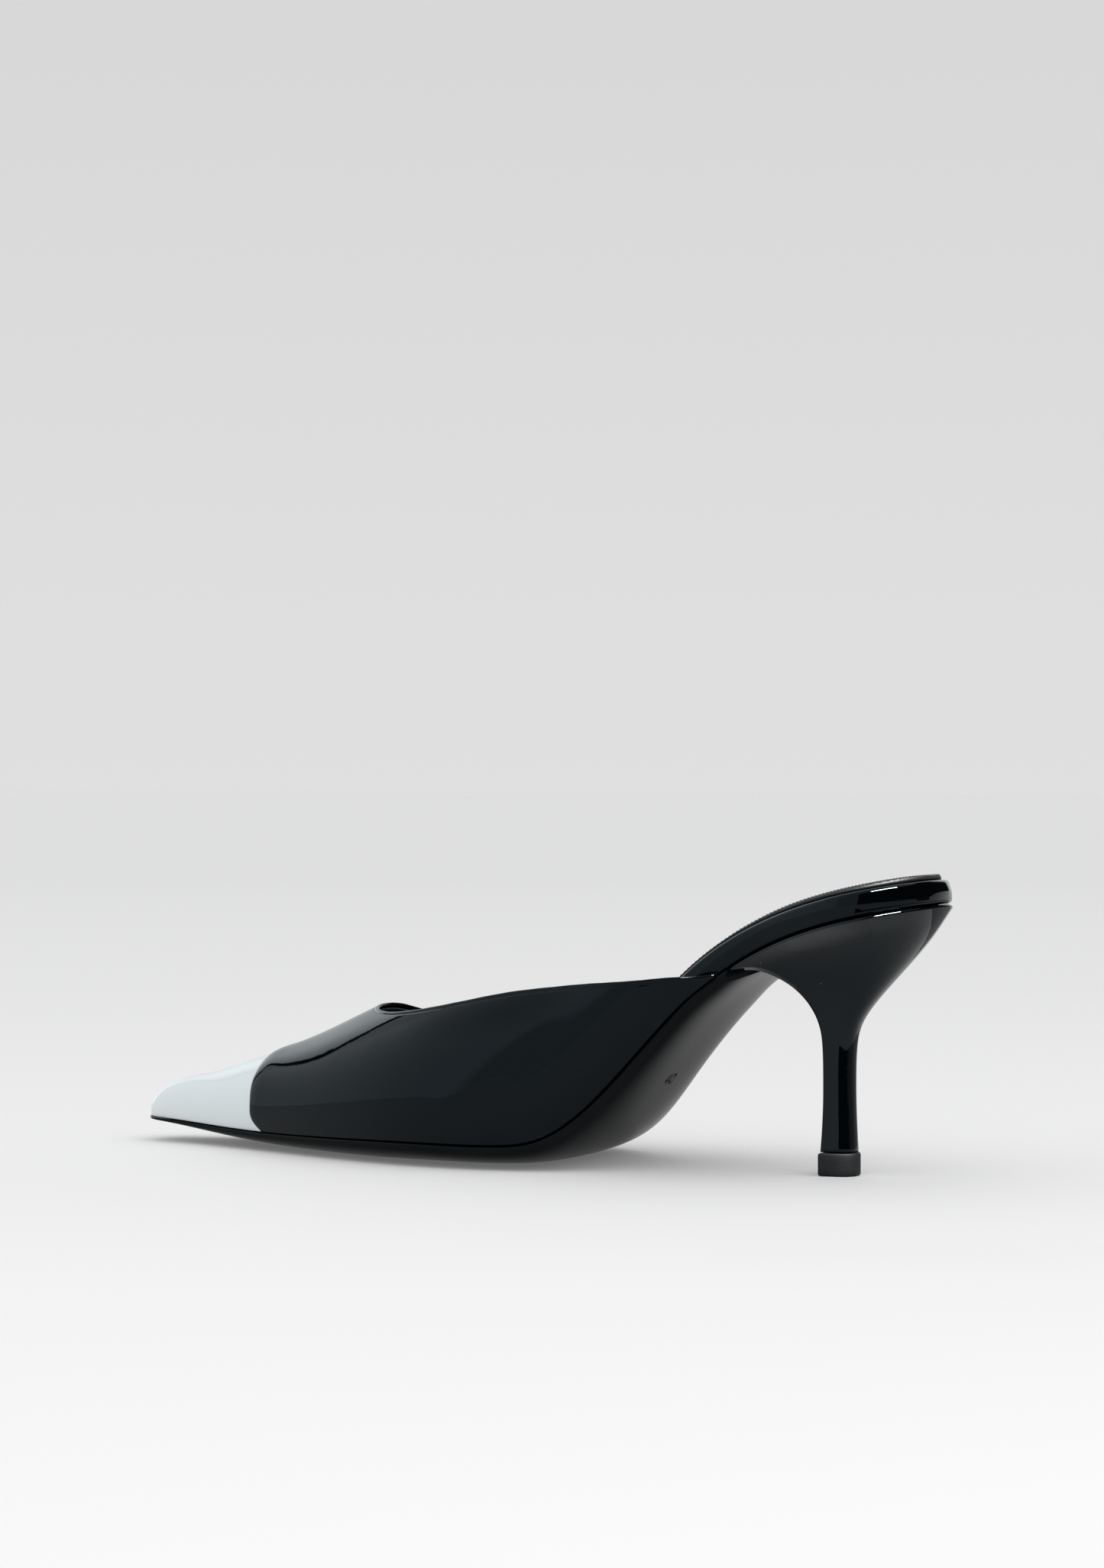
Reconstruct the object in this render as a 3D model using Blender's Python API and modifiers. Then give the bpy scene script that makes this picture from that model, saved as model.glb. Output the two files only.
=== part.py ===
"""Kitten heel mule, the right shoe of a pair.

A pointed slip-on with a patent upper, a cap over the toe, an insole whose wrapped rim
shows from the waist back, a thin rounded outsole and a slim covered heel on a top piece.
Metres, +Z up, the toe towards -X, the inner (medial) side towards -Y, the floor at Z = 0.
"""

from typing import NamedTuple

import bmesh
import bpy
import numpy as np
from mathutils import Matrix

# Driving sizes, in metres
LENGTH = 0.2485  # back of the heel to the tip of the toe, along the floor
BALL_WIDTH = 0.0717  # insole across the ball
WAIST_WIDTH = 0.0360  # insole across the waist, at its narrowest
SEAT_WIDTH = 0.0528  # insole across the heel seat
TOE_WIDTH = 0.0110  # insole across the blunt tip of the toe
HEEL_HEIGHT = 0.0734  # floor to the underside of the insole at its back
TREAD_DEPTH = 0.0066  # floor to the edge of the insole at the ball
THROAT_HEIGHT = 0.0440  # floor to the top of the upper at the middle of its throat
UPPER_WALL = 0.0018  # lined patent leather
CAP_WALL = 0.0010  # patent leather of the toe cap
CAP_DROP = 0.0013  # step down from the vamp to the toe cap, at the ridge
INSOLE_RIM = 0.0065  # insole board with its wrapped rim, from the waist back
INSOLE_FORE = 0.0024  # insole board inside the upper
SOCK_EDGE = 0.0006  # padded sock at its edge
SOCK_PAD = 0.0014  # padded sock at the middle of the seat
SOCK_FORE = 0.0008  # sock under the ball and toes
SOCK_INSET = 0.0016  # from the rim of the insole in to the sock
SOLE_THICKNESS = 0.0030  # outsole leather
SOLE_MARGIN = 0.0003  # outsole past the foot of the upper
SOLE_EDGE = 0.0005  # least thickness of the outsole, at its edge
STEM_WIDTH = 0.0091  # heel at its thinnest, across
TIP_WIDTH = 0.0100  # foot of the heel, across
STEM_LENGTH = 0.0073  # heel at its thinnest, front to back
TIP_LENGTH = 0.0086  # foot of the heel, front to back
STEM_SETBACK = 0.0255  # back of the insole to the back of the stem
BREAST_SETBACK = 0.0557  # back of the insole to the front corners of the heel
BREAST_HOLLOW = 0.0090  # how far the front of the heel is hollowed at the seat
TOP_PIECE_HEIGHT = 0.0062
TOP_PIECE_MARGIN = 0.0005  # top piece past the foot of the heel
TOE_NOSE = 0.0060  # length of the rounding at the toe
SEAT_ROUND = 0.0250  # length of the rounding at the back of the seat
INSOLE_EDGE = 0.0012  # length of the easing at the ends of the insole
SOCK_EASE = 0.0080  # the same for the sock
GAP = 0.0003  # clearance between neighbouring pieces

# Counts along and across each surface
CAP_COLUMNS = 13
VAMP_COLUMNS = 16
WALL_ROWS = 13
SOLE_STATIONS = 44
SOLE_POINTS = 6
HEEL_RINGS = 17
HEEL_SIDE_POINTS = 11
HEEL_FRONT_POINTS = 9


class Outline(NamedTuple):
    """Half widths of the insole, as shares of the width that they follow."""

    station: float  # share of LENGTH, from the heel back to the toe
    width: float
    medial: float
    lateral: float


class Level(NamedTuple):
    """A height above the floor, as a share of the height that it follows."""

    station: float
    height: float
    share: float


class Wall(NamedTuple):
    """How the upper rises from the edge of the insole, in shares of the ball's width."""

    station: float
    bulge: float  # out from the edge to the wall's first control point
    rise: float  # height of that point, as a share of the section's height
    crown: float  # half width of the ridge's control point


class Depth(NamedTuple):
    """Depth of the outsole below the edge of the insole, as a share of TREAD_DEPTH."""

    station: float
    share: float


class Edge(NamedTuple):
    """Where a cut edge of the upper crosses the wall."""

    up: float  # share of the way from the feather line to the ridge
    station: float


class Top(NamedTuple):
    """A point of the upper's open edge, for a row of its mesh."""

    row: float  # 0 at the feather line and 1 at the middle of the throat
    station: float
    medial_up: float
    lateral_up: float


class HeelRing(NamedTuple):
    """A ring of the heel between its foot (0) and its seat (1)."""

    level: float
    back: float  # share of the way from the stem's back to the seat's back
    front: float  # share of the way from the stem's front to the breast corner
    width: float  # share of the way from the stem's half width to the seat's


class Step(NamedTuple):
    """Distance between the stations of a mesh."""

    station: float
    length: float


OUTLINE = [
    Outline(0.000, SEAT_WIDTH, 0.505, 0.505),
    Outline(0.038, SEAT_WIDTH, 0.500, 0.500),
    Outline(0.088, SEAT_WIDTH, 0.470, 0.472),
    Outline(0.138, SEAT_WIDTH, 0.412, 0.425),
    Outline(0.188, WAIST_WIDTH, 0.505, 0.650),
    Outline(0.237, WAIST_WIDTH, 0.464, 0.650),
    Outline(0.287, WAIST_WIDTH, 0.475, 0.650),
    Outline(0.337, WAIST_WIDTH, 0.575, 0.640),
    Outline(0.386, BALL_WIDTH, 0.355, 0.384),
    Outline(0.436, BALL_WIDTH, 0.418, 0.460),
    Outline(0.496, BALL_WIDTH, 0.460, 0.520),
    Outline(0.565, BALL_WIDTH, 0.464, 0.536),
    Outline(0.645, BALL_WIDTH, 0.418, 0.486),
    Outline(0.724, BALL_WIDTH, 0.338, 0.400),
    Outline(0.804, BALL_WIDTH, 0.243, 0.298),
    Outline(0.883, BALL_WIDTH, 0.152, 0.186),
    Outline(0.943, TOE_WIDTH, 0.640, 0.740),
    Outline(1.000, TOE_WIDTH, 0.500, 0.500),
]

FEATHER_LINE = [
    Level(0.000, HEEL_HEIGHT, 1.002),
    Level(0.060, HEEL_HEIGHT, 0.962),
    Level(0.120, HEEL_HEIGHT, 0.911),
    Level(0.180, HEEL_HEIGHT, 0.838),
    Level(0.230, HEEL_HEIGHT, 0.744),
    Level(0.280, HEEL_HEIGHT, 0.600),
    Level(0.330, HEEL_HEIGHT, 0.405),
    Level(0.375, HEEL_HEIGHT, 0.233),
    Level(0.420, HEEL_HEIGHT, 0.122),
    Level(0.470, TREAD_DEPTH, 1.022),
    Level(0.550, TREAD_DEPTH, 1.012),
    Level(0.700, TREAD_DEPTH, 0.922),
    Level(0.850, TREAD_DEPTH, 0.863),
    Level(1.000, TREAD_DEPTH, 1.020),
]

RIDGE_LINE = [
    Level(0.20, THROAT_HEIGHT, 1.756),
    Level(0.30, THROAT_HEIGHT, 1.598),
    Level(0.42, THROAT_HEIGHT, 1.411),
    Level(0.55, THROAT_HEIGHT, 1.212),
    Level(0.62, THROAT_HEIGHT, 1.092),
    Level(0.68, THROAT_HEIGHT, 0.968),
    Level(0.74, THROAT_HEIGHT, 0.817),
    Level(0.80, THROAT_HEIGHT, 0.686),
    Level(0.85, THROAT_HEIGHT, 0.609),
    Level(0.91, THROAT_HEIGHT, 0.504),
    Level(0.96, THROAT_HEIGHT, 0.442),
    Level(1.00, THROAT_HEIGHT, 0.340),
]

WALLS = [
    Wall(0.188, 0.030, 0.300, 0.52),
    Wall(0.257, 0.080, 0.320, 0.50),
    Wall(0.327, 0.150, 0.330, 0.46),
    Wall(0.406, 0.150, 0.380, 0.42),
    Wall(0.486, 0.130, 0.440, 0.40),
    Wall(0.585, 0.115, 0.470, 0.36),
    Wall(0.685, 0.095, 0.480, 0.28),
    Wall(0.784, 0.070, 0.500, 0.22),
    Wall(0.883, 0.042, 0.520, 0.15),
    Wall(0.943, 0.026, 0.540, 0.10),
    Wall(1.000, 0.018, 0.550, 0.07),
]

SOLE_DEPTH = [
    Depth(0.158, 0.60),
    Depth(0.247, 0.64),
    Depth(0.327, 0.70),
    Depth(0.406, 0.88),
    Depth(0.486, 1.00),
    Depth(0.565, 1.03),
    Depth(0.645, 1.00),
    Depth(0.724, 0.87),
    Depth(0.804, 0.70),
    Depth(0.883, 0.48),
    Depth(0.943, 0.29),
    Depth(1.000, 0.12),
]

TOPLINE = [
    Top(0.0, 0.235, 0.000, 0.000),
    Top(0.1, 0.262, 0.175, 0.160),
    Top(0.2, 0.290, 0.320, 0.290),
    Top(0.3, 0.331, 0.465, 0.425),
    Top(0.4, 0.385, 0.575, 0.525),
    Top(0.5, 0.455, 0.622, 0.570),
    Top(0.6, 0.530, 0.622, 0.565),
    Top(0.7, 0.598, 0.640, 0.585),
    Top(0.8, 0.646, 0.710, 0.670),
    Top(0.9, 0.673, 0.840, 0.820),
    Top(1.0, 0.683, 1.000, 1.000),
]

CAP_SEAM = [
    Edge(0.00, 0.806),
    Edge(0.08, 0.818),
    Edge(0.22, 0.8225),
    Edge(0.45, 0.825),
    Edge(0.70, 0.825),
    Edge(0.85, 0.827),
    Edge(1.00, 0.829),
]

HEEL_RINGS_TABLE = [
    HeelRing(0.00, 0.000, 0.000, 0.000),
    HeelRing(0.36, 0.000, 0.000, 0.004),
    HeelRing(0.47, 0.012, 0.004, 0.016),
    HeelRing(0.56, 0.065, 0.026, 0.040),
    HeelRing(0.64, 0.205, 0.088, 0.085),
    HeelRing(0.73, 0.430, 0.210, 0.180),
    HeelRing(0.82, 0.665, 0.385, 0.340),
    HeelRing(0.90, 0.845, 0.585, 0.550),
    HeelRing(0.95, 0.930, 0.745, 0.735),
    HeelRing(0.98, 0.973, 0.885, 0.890),
    HeelRing(1.00, 1.000, 1.000, 1.000),
]

STEPS = [
    Step(0.00, 0.0015),
    Step(0.02, 0.0025),
    Step(0.06, 0.0050),
    Step(0.10, 0.0080),
    Step(0.16, 0.0070),
    Step(0.22, 0.0050),
    Step(0.40, 0.0045),
    Step(0.46, 0.0060),
    Step(0.55, 0.0100),
    Step(0.80, 0.0100),
    Step(0.93, 0.0060),
    Step(0.975, 0.0025),
    Step(1.00, 0.0008),
]

INSOLE_TOE_STATION = 0.984  # toe of the insole, inside the upper's
SOCK_TOE_STATION = 0.965  # toe of the sock
ROW_CURVE = 1.3  # power from a row of the upper's mesh to its share of the way up at the cap
CAP_SIDE_DROP = 0.30  # the same step at the feather line, as a share of CAP_DROP
TOE_FRONT_SHARE = 0.50  # height of the upright front of the toe, as a share of the whole
RIM_START_STATION = 0.36  # station where the insole starts to thicken
RIM_FULL_STATION = 0.29  # station where it has the full thickness of its rim
SOLE_CURVE = 2.5  # power of the outsole's section under the ball: 2 is an ellipse
WAIST_CURVE = 3.4  # the same under the waist
FLARE_LEVEL = 0.30  # level under which the heel flares out to its foot
SEAT_CURVE = 2.2  # the same for the plan of the seat
STEM_CURVE = 2.6  # the same for the plan of the heel's stem
MEDIAL, LATERAL = -1, 1


def smooth(knots, values):
    """Natural cubic spline through the points, as a function of an array."""
    order = np.argsort(knots)
    k, v = np.array(knots, float)[order], np.array(values, float)[order]
    h = np.diff(k)
    system = np.eye(len(k))
    load = np.zeros(len(k))
    for i in range(1, len(k) - 1):
        system[i, i - 1 : i + 2] = h[i - 1], 2 * (h[i - 1] + h[i]), h[i]
        load[i] = 6 * ((v[i + 1] - v[i]) / h[i] - (v[i] - v[i - 1]) / h[i - 1])
    bend = np.linalg.solve(system, load)

    def value(at):
        at = np.clip(at, k[0], k[-1])
        i = np.clip(np.searchsorted(k, at) - 1, 0, len(h) - 1)
        a, b = (k[i + 1] - at) / h[i], (at - k[i]) / h[i]
        curve = ((a**3 - a) * bend[i] + (b**3 - b) * bend[i + 1]) * h[i] ** 2 / 6
        return a * v[i] + b * v[i + 1] + curve

    return value


def ramp(at, start, end):
    """0 before start and 1 past end, with a soft S between them."""
    share = np.clip((at - start) / (end - start), 0, 1)
    return share * share * (3 - 2 * share)


def rounding(distance, length, power):
    """Superellipse factor: 0 at the very end and 1 from length on."""
    share = 1 - np.clip(distance / length, 0, 1)
    return (1 - share**power) ** (1 / power)


outline_medial = smooth([r.station for r in OUTLINE], [r.width * r.medial for r in OUTLINE])
outline_lateral = smooth([r.station for r in OUTLINE], [r.width * r.lateral for r in OUTLINE])
feather_height = smooth([r.station for r in FEATHER_LINE], [r.height * r.share for r in FEATHER_LINE])
ridge_table = smooth([r.station for r in RIDGE_LINE], [r.height * r.share for r in RIDGE_LINE])
wall_bulge = smooth([r.station for r in WALLS], [r.bulge * BALL_WIDTH for r in WALLS])
wall_rise = smooth([r.station for r in WALLS], [r.rise for r in WALLS])
wall_crown = smooth([r.station for r in WALLS], [r.crown * BALL_WIDTH for r in WALLS])
sole_depth = smooth([r.station for r in SOLE_DEPTH], [r.share * TREAD_DEPTH for r in SOLE_DEPTH])
topline_station = smooth([r.row for r in TOPLINE], [r.station for r in TOPLINE])
medial_up = smooth([r.row for r in TOPLINE], [r.medial_up for r in TOPLINE])
lateral_up = smooth([r.row for r in TOPLINE], [r.lateral_up for r in TOPLINE])
seam_station = smooth([r.up for r in CAP_SEAM], [r.station for r in CAP_SEAM])
heel_back = smooth([r.level for r in HEEL_RINGS_TABLE], [r.back for r in HEEL_RINGS_TABLE])
heel_front = smooth([r.level for r in HEEL_RINGS_TABLE], [r.front for r in HEEL_RINGS_TABLE])
heel_width = smooth([r.level for r in HEEL_RINGS_TABLE], [r.width for r in HEEL_RINGS_TABLE])


def place_x(station):
    """X of a station: the heel is towards +X and the middle of the length is 0."""
    return LENGTH * (0.5 - station)


def station_of(x):
    return 0.5 - x / LENGTH


def toe_nose(station):
    """Narrows every width to nothing over the last few millimetres of the toe."""
    return rounding(LENGTH * (1 - station), TOE_NOSE, 2)


def half_width(station, side):
    """Half width of the insole from the tables, without its rounded ends."""
    return np.where(side < 0, outline_medial(station), outline_lateral(station))


def insole_half_width(station, side):
    """The insole itself, drawn in where the cap sets the upper in, and rounded at both ends."""
    drawn_in = (CAP_WALL + GAP + CAP_SIDE_DROP * CAP_DROP) * ramp(station, 0.755, 0.782)
    toe = rounding(LENGTH * (INSOLE_TOE_STATION - station), TOE_NOSE, 2)
    return (half_width(station, side) - drawn_in) * toe * rounding(LENGTH * station, SEAT_ROUND, SEAT_CURVE)


def upper_half_width(station, side):
    """Outer face of the upper at the feather line, clear of the insole inside it."""
    return (half_width(station, side) + UPPER_WALL + GAP) * toe_nose(station)


def ridge_height(station):
    """Top of the section, rounded down to the upright front of the toe."""
    foot = feather_height(station)
    front = rounding(LENGTH * (1 - station), 1.3 * TOE_NOSE, 2)
    return foot + (ridge_table(station) - foot) * (TOE_FRONT_SHARE + (1 - TOE_FRONT_SHARE) * front)


def upper_surface(station, up, side, drop=0.0):
    """Outer face of the upper: each half section is one cubic Bezier from feather to ridge."""
    nose = toe_nose(station)
    foot, top = feather_height(station), ridge_height(station) - drop * nose
    edge = upper_half_width(station, side) - CAP_SIDE_DROP * drop * nose
    control_y = [edge, edge + wall_bulge(station) * nose, wall_crown(station) * nose, 0 * edge]
    control_z = [foot, foot + wall_rise(station) * (top - foot), top, top]
    weights = [(1 - up) ** 3, 3 * up * (1 - up) ** 2, 3 * up**2 * (1 - up), up**3]
    y = side * sum(w * c for w, c in zip(weights, control_y))
    z = sum(w * c for w, c in zip(weights, control_z))
    return np.stack(np.broadcast_arrays(place_x(station), y, z), -1)


def feather_slope(station):
    """Sine and cosine of the seat's slope along the shoe."""
    step = 0.002
    rise = feather_height(station - step) - feather_height(station + step)
    angle = np.arctan2(rise, 2 * step * LENGTH)
    return np.sin(angle), np.cos(angle)


def hollow(station, y, side):
    """How far the bottom of the last bellies below its edge, across the ball."""
    belly = np.maximum(sole_depth(station) - SOLE_THICKNESS, 0) * ramp(station, 0.24, 0.42)
    edge = np.maximum(upper_half_width(station, side), 1e-6)
    return belly * np.maximum(1 - (y / edge) ** 2, 0)


def from_feather(station, y, lift, plumb=0.0):
    """A point at a height square to the slope of the feather line, or plumb where plumb is 1."""
    sine, cosine = feather_slope(station)
    x = place_x(station) - sine * lift * (1 - plumb)
    z = feather_height(station) + lift * (cosine * (1 - plumb) + plumb / cosine)
    return np.stack(np.broadcast_arrays(x, y, z), -1)


def insole_thickness(station):
    return INSOLE_FORE + (INSOLE_RIM - INSOLE_FORE) * ramp(station, RIM_START_STATION, RIM_FULL_STATION)


def spread(count, start, end):
    """Stations from start to end, as close together as STEPS says for each part of the shoe."""
    fine = np.linspace(start, end, 600)
    spacing = np.interp(fine, [r.station for r in STEPS], [r.length for r in STEPS])
    filled = np.concatenate([[0], np.cumsum((1 / spacing[1:] + 1 / spacing[:-1]) / 2)])
    return np.interp(np.linspace(0, filled[-1], count), filled, fine)


def new_object(name, points, faces, material):
    mesh = bpy.data.meshes.new(name)
    mesh.from_pydata([tuple(p) for p in points], [], faces)
    work = bmesh.new()
    work.from_mesh(mesh)
    bmesh.ops.remove_doubles(work, verts=work.verts, dist=1e-6)
    bmesh.ops.dissolve_degenerate(work, edges=work.edges, dist=1e-7)
    bmesh.ops.recalc_face_normals(work, faces=work.faces)
    work.to_mesh(mesh)
    work.free()
    obj = bpy.data.objects.new(name, mesh)
    obj.data.materials.append(material)
    mesh.shade_smooth()
    COLLECTION.objects.link(obj)
    return obj


def grid_faces(rows, columns):
    """Quads between neighbouring points of a grid stored row by row."""
    faces = []
    for r in range(rows - 1):
        below, above = r * columns, (r + 1) * columns
        faces += [(below + c, below + c + 1, above + c + 1, above + c) for c in range(columns - 1)]
    return faces


def loft(name, rings, material):
    """A closed body through rings of points, with a flat fan over each end that has a size."""
    count, around = rings.shape[:2]
    faces = []
    for r in range(count - 1):
        for c in range(around):
            d = (c + 1) % around
            faces.append((r * around + c, r * around + d, (r + 1) * around + d, (r + 1) * around + c))
    faces += [tuple(range(around))[::-1], tuple(range((count - 1) * around, count * around))]
    return new_object(name, rings.reshape(-1, 3), faces, material)


def sheet_solid(name, top, bottom, material):
    """A closed body between two grids of the same size, such as a sole or a sock."""
    rows, columns = top.shape[:2]
    upper = grid_faces(rows, columns)
    count = rows * columns
    lower = [tuple(count + i for i in reversed(face)) for face in upper]
    border = [(0, c) for c in range(columns)]
    border += [(r, columns - 1) for r in range(1, rows)]
    border += [(rows - 1, c) for c in range(columns - 2, -1, -1)]
    border += [(r, 0) for r in range(rows - 2, 0, -1)]
    ring = [r * columns + c for r, c in border]
    walls = [(a, b, count + b, count + a) for a, b in zip(ring, ring[1:] + ring[:1])]
    points = np.concatenate([top.reshape(-1, 3), bottom.reshape(-1, 3)])
    return new_object(name, points, upper + lower + walls, material)


def finish(name, colour, roughness, coat=0.0):
    material = bpy.data.materials.new(name)
    material.use_nodes = True
    shader = material.node_tree.nodes["Principled BSDF"]
    shader.inputs["Base Color"].default_value = (*colour, 1)
    shader.inputs["Roughness"].default_value = roughness
    shader.inputs["Metallic"].default_value = 0.0
    shader.inputs["Coat Weight"].default_value = coat
    return material


def wall_grid(columns_of):
    """Points of the upper's face: rows from the medial foot over the ridge to the lateral foot."""
    half = np.linspace(0, 1, WALL_ROWS)
    rows = np.concatenate([half, half[-2::-1]])
    sides = np.concatenate([np.full(WALL_ROWS, MEDIAL), np.full(WALL_ROWS - 1, LATERAL)])
    parts = [columns_of(row, side) for row, side in zip(rows, sides)]
    stations, ups, drops = (np.stack(part) for part in zip(*parts))
    return upper_surface(stations, ups, sides[:, None], drops)


def set_in(obj, depth, keep):
    """Moves the surface in by an even depth along its normals, where keep says."""
    work = bmesh.new()
    work.from_mesh(obj.data)
    work.normal_update()
    moves = [(v, v.normal * v.calc_shell_factor()) for v in work.verts if keep(v.co)]
    for vertex, normal in moves:
        vertex.co -= normal * depth
    work.to_mesh(obj.data)
    work.free()


def face_outwards(obj):
    """Turns an open shell's faces so that they point away from the shoe's middle plane."""
    mesh = obj.data
    total = sum(p.normal.y * p.center.y * p.area for p in mesh.polygons)
    if total < 0:
        mesh.flip_normals()


def add_wall(obj, thickness):
    wall = obj.modifiers.new("wall", "SOLIDIFY")
    wall.thickness = thickness
    wall.offset = -1
    wall.use_even_offset = True
    return wall


def cap_rows(row, end):
    """Stations from the toe to the seam for one row, and its share of the way up at each."""
    stations = spread(CAP_COLUMNS, 1, end)
    way = (1 - stations) / (1 - end)
    return stations, row + (row**ROW_CURVE - row) * way


def make_upper(material):
    """Vamp and quarters in one piece. Under the cap its face is set in by the cap's thickness."""
    seam_step = 0.0016

    def columns(row, side):
        low = row**ROW_CURVE
        seam, end = seam_station(low), topline_station(row)
        toe, toe_ups = cap_rows(row, seam + seam_step)
        rest = spread(VAMP_COLUMNS, seam - seam_step, end)
        top = medial_up(row) if side == MEDIAL else lateral_up(row)
        way = (rest - rest[0]) / (end - rest[0])
        ups = np.concatenate([toe_ups, low + (top - low) * way**2])
        drops = np.repeat([CAP_DROP, 0], [CAP_COLUMNS, VAMP_COLUMNS])
        return np.concatenate([toe, rest]), ups, drops

    points = wall_grid(columns)
    obj = new_object("upper", points.reshape(-1, 3), grid_faces(*points.shape[:2]), material)
    face_outwards(obj)
    under_cap = {tuple(np.round(p, 6)) for p in points[:, :CAP_COLUMNS].reshape(-1, 3)}
    set_in(obj, CAP_WALL + GAP, lambda co: tuple(np.round(np.array(co), 6)) in under_cap)
    add_wall(obj, UPPER_WALL)
    return obj


def make_toe_cap(material):
    def columns(row, side):
        stations, ups = cap_rows(row, seam_station(row**ROW_CURVE) + GAP / LENGTH)
        return stations, ups, np.full(CAP_COLUMNS, CAP_DROP)

    points = wall_grid(columns)
    obj = new_object("toe_cap", points.reshape(-1, 3), grid_faces(*points.shape[:2]), material)
    face_outwards(obj)
    add_wall(obj, CAP_WALL)
    return obj


def across(count):
    """Shares across a sole from -1 (medial) to 1 (lateral), crowded towards both edges."""
    return np.sin(np.linspace(-np.pi / 2, np.pi / 2, 2 * count - 1))


def border(station, share, start, end, reach):
    """1 on the border of a sole's plan and 0 inside it; reach is the length of its end bands."""
    ends = np.minimum(np.abs(station - start), np.abs(station - end)) * LENGTH
    inside = rounding(ends, reach, 2)
    return 1 - inside * (1 - np.abs(share) ** 14)


def make_insole(material):
    """The board and its wrapped rim: thin inside the upper and thick where it shows."""
    stations = spread(SOLE_STATIONS, 0, INSOLE_TOE_STATION)[:, None]
    share = across(SOLE_POINTS)[None, :]
    y = share * insole_half_width(stations, share)
    thickness = insole_thickness(stations)
    eased = 0.12 * thickness * border(stations, share, 0, INSOLE_TOE_STATION, INSOLE_EDGE)
    sag = hollow(stations, y, share)
    bottom = from_feather(stations, y, eased - sag)
    top = from_feather(stations, y, thickness - eased - sag)
    return sheet_solid("insole", top, bottom, material)


def make_sock(material):
    """The padded lining that lies on the insole, from the heel to the toes."""
    start, end = SOCK_INSET / LENGTH, SOCK_TOE_STATION
    stations = spread(SOLE_STATIONS, start, end)[:, None]
    share = across(SOLE_POINTS)[None, :]
    ends = rounding(LENGTH * (stations - start), SEAT_ROUND, SEAT_CURVE)
    ends *= rounding(LENGTH * (end - stations), TOE_NOSE, 2)
    y = share * (half_width(stations, share) - SOCK_INSET - CAP_WALL - GAP) * ends
    base = insole_thickness(stations) + GAP - hollow(stations, y, share)
    pad = SOCK_FORE + (SOCK_PAD - SOCK_FORE) * (1 - ramp(stations, 0.12, 0.24))
    inside = 1 - border(stations, share**2, start, end, SOCK_EASE) ** 2
    bottom = from_feather(stations, y, base)
    top = from_feather(stations, y, base + SOCK_EDGE + (pad - SOCK_EDGE) * inside)
    return sheet_solid("sock", top, bottom, material)


def breast_x(y):
    """Front edge of the heel seat: two corners forward and a hollow between them."""
    corner = LENGTH / 2 - BREAST_SETBACK
    half = insole_half_width(station_of(corner), np.sign(y) + (y == 0))
    return corner + BREAST_HOLLOW * np.maximum(1 - (y / half) ** 2, 0)


def make_outsole(material):
    """A thin leather sole with a bellied section and flat where it bears on the floor."""
    share = across(SOLE_POINTS)[None, :]
    corner = station_of(LENGTH / 2 - BREAST_SETBACK)
    ends = station_of(breast_x(share * insole_half_width(corner, share)) - GAP)
    along = spread(SOLE_STATIONS, 1, corner)[:, None]
    stations = 1 + (ends - 1) * (1 - along) / (1 - corner)
    tail = ramp(stations, corner, corner + 0.05)
    plumb = ramp(stations, corner + 0.08, corner)
    past = (UPPER_WALL + GAP + SOLE_MARGIN) * tail
    y = share * (half_width(np.maximum(stations, corner), share) + past) * toe_nose(stations)
    top = from_feather(stations, y, -GAP - hollow(stations, y, share), plumb)
    power = SOLE_CURVE + (WAIST_CURVE - SOLE_CURVE) * ramp(stations, 0.45, 0.30)
    section = (1 - np.abs(share) ** power) ** (1 / power)
    section = section * rounding(LENGTH * (1 - stations), 0.010, 2)
    depth = GAP + SOLE_EDGE + (sole_depth(stations) - GAP - SOLE_EDGE) * section
    bottom = from_feather(stations, y, -depth, plumb)
    bottom[..., 2] = np.maximum(bottom[..., 2], 0)
    return sheet_solid("outsole", top, bottom, material)


def heel_spans(level):
    """Back, front and half width of the heel's middle at a level, as X, X and Y."""
    stem_back = LENGTH / 2 - STEM_SETBACK
    flare = np.clip(1 - level / FLARE_LEVEL, 0, 1) ** 2
    length = STEM_LENGTH + (TIP_LENGTH - STEM_LENGTH) * flare
    half = (STEM_WIDTH + (TIP_WIDTH - STEM_WIDTH) * flare) / 2
    middle = stem_back - STEM_LENGTH / 2
    corner = LENGTH / 2 - BREAST_SETBACK
    back = middle + length / 2 + STEM_SETBACK * heel_back(level)
    front = middle - length / 2 - (middle - STEM_LENGTH / 2 - corner) * heel_front(level)
    return back, front, half


def heel_plan(level, grow=0.0):
    """A level of the heel as a grid: rows from its front to its back, points across each row."""
    back, front, half = heel_spans(level)
    back, front, half = back + grow, front - grow, half + grow
    along = np.sin(np.linspace(0, np.pi / 2, HEEL_SIDE_POINTS))[:, None]
    share = np.linspace(-1, 1, HEEL_FRONT_POINTS)[None, :]
    corner = LENGTH / 2 - BREAST_SETBACK
    seat = insole_half_width(station_of(corner + BREAST_SETBACK * along), share)
    stem = half * (1 - along**STEM_CURVE) ** (1 / STEM_CURVE)
    y = share * (stem + (seat - stem) * heel_width(level))
    scoop = BREAST_HOLLOW * ramp(level, 0.35, 1.0) * (1 - share**2) * (1 - along) ** 2
    x = front + (back - front) * along + scoop
    return np.stack(np.broadcast_arrays(x, y), -1)


def rim_of(grid):
    """The border of a grid as one ring: up its first side, down its last and along its front."""
    return np.concatenate([grid[:, 0], grid[-2::-1, -1], grid[0, -2:0:-1]])


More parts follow.
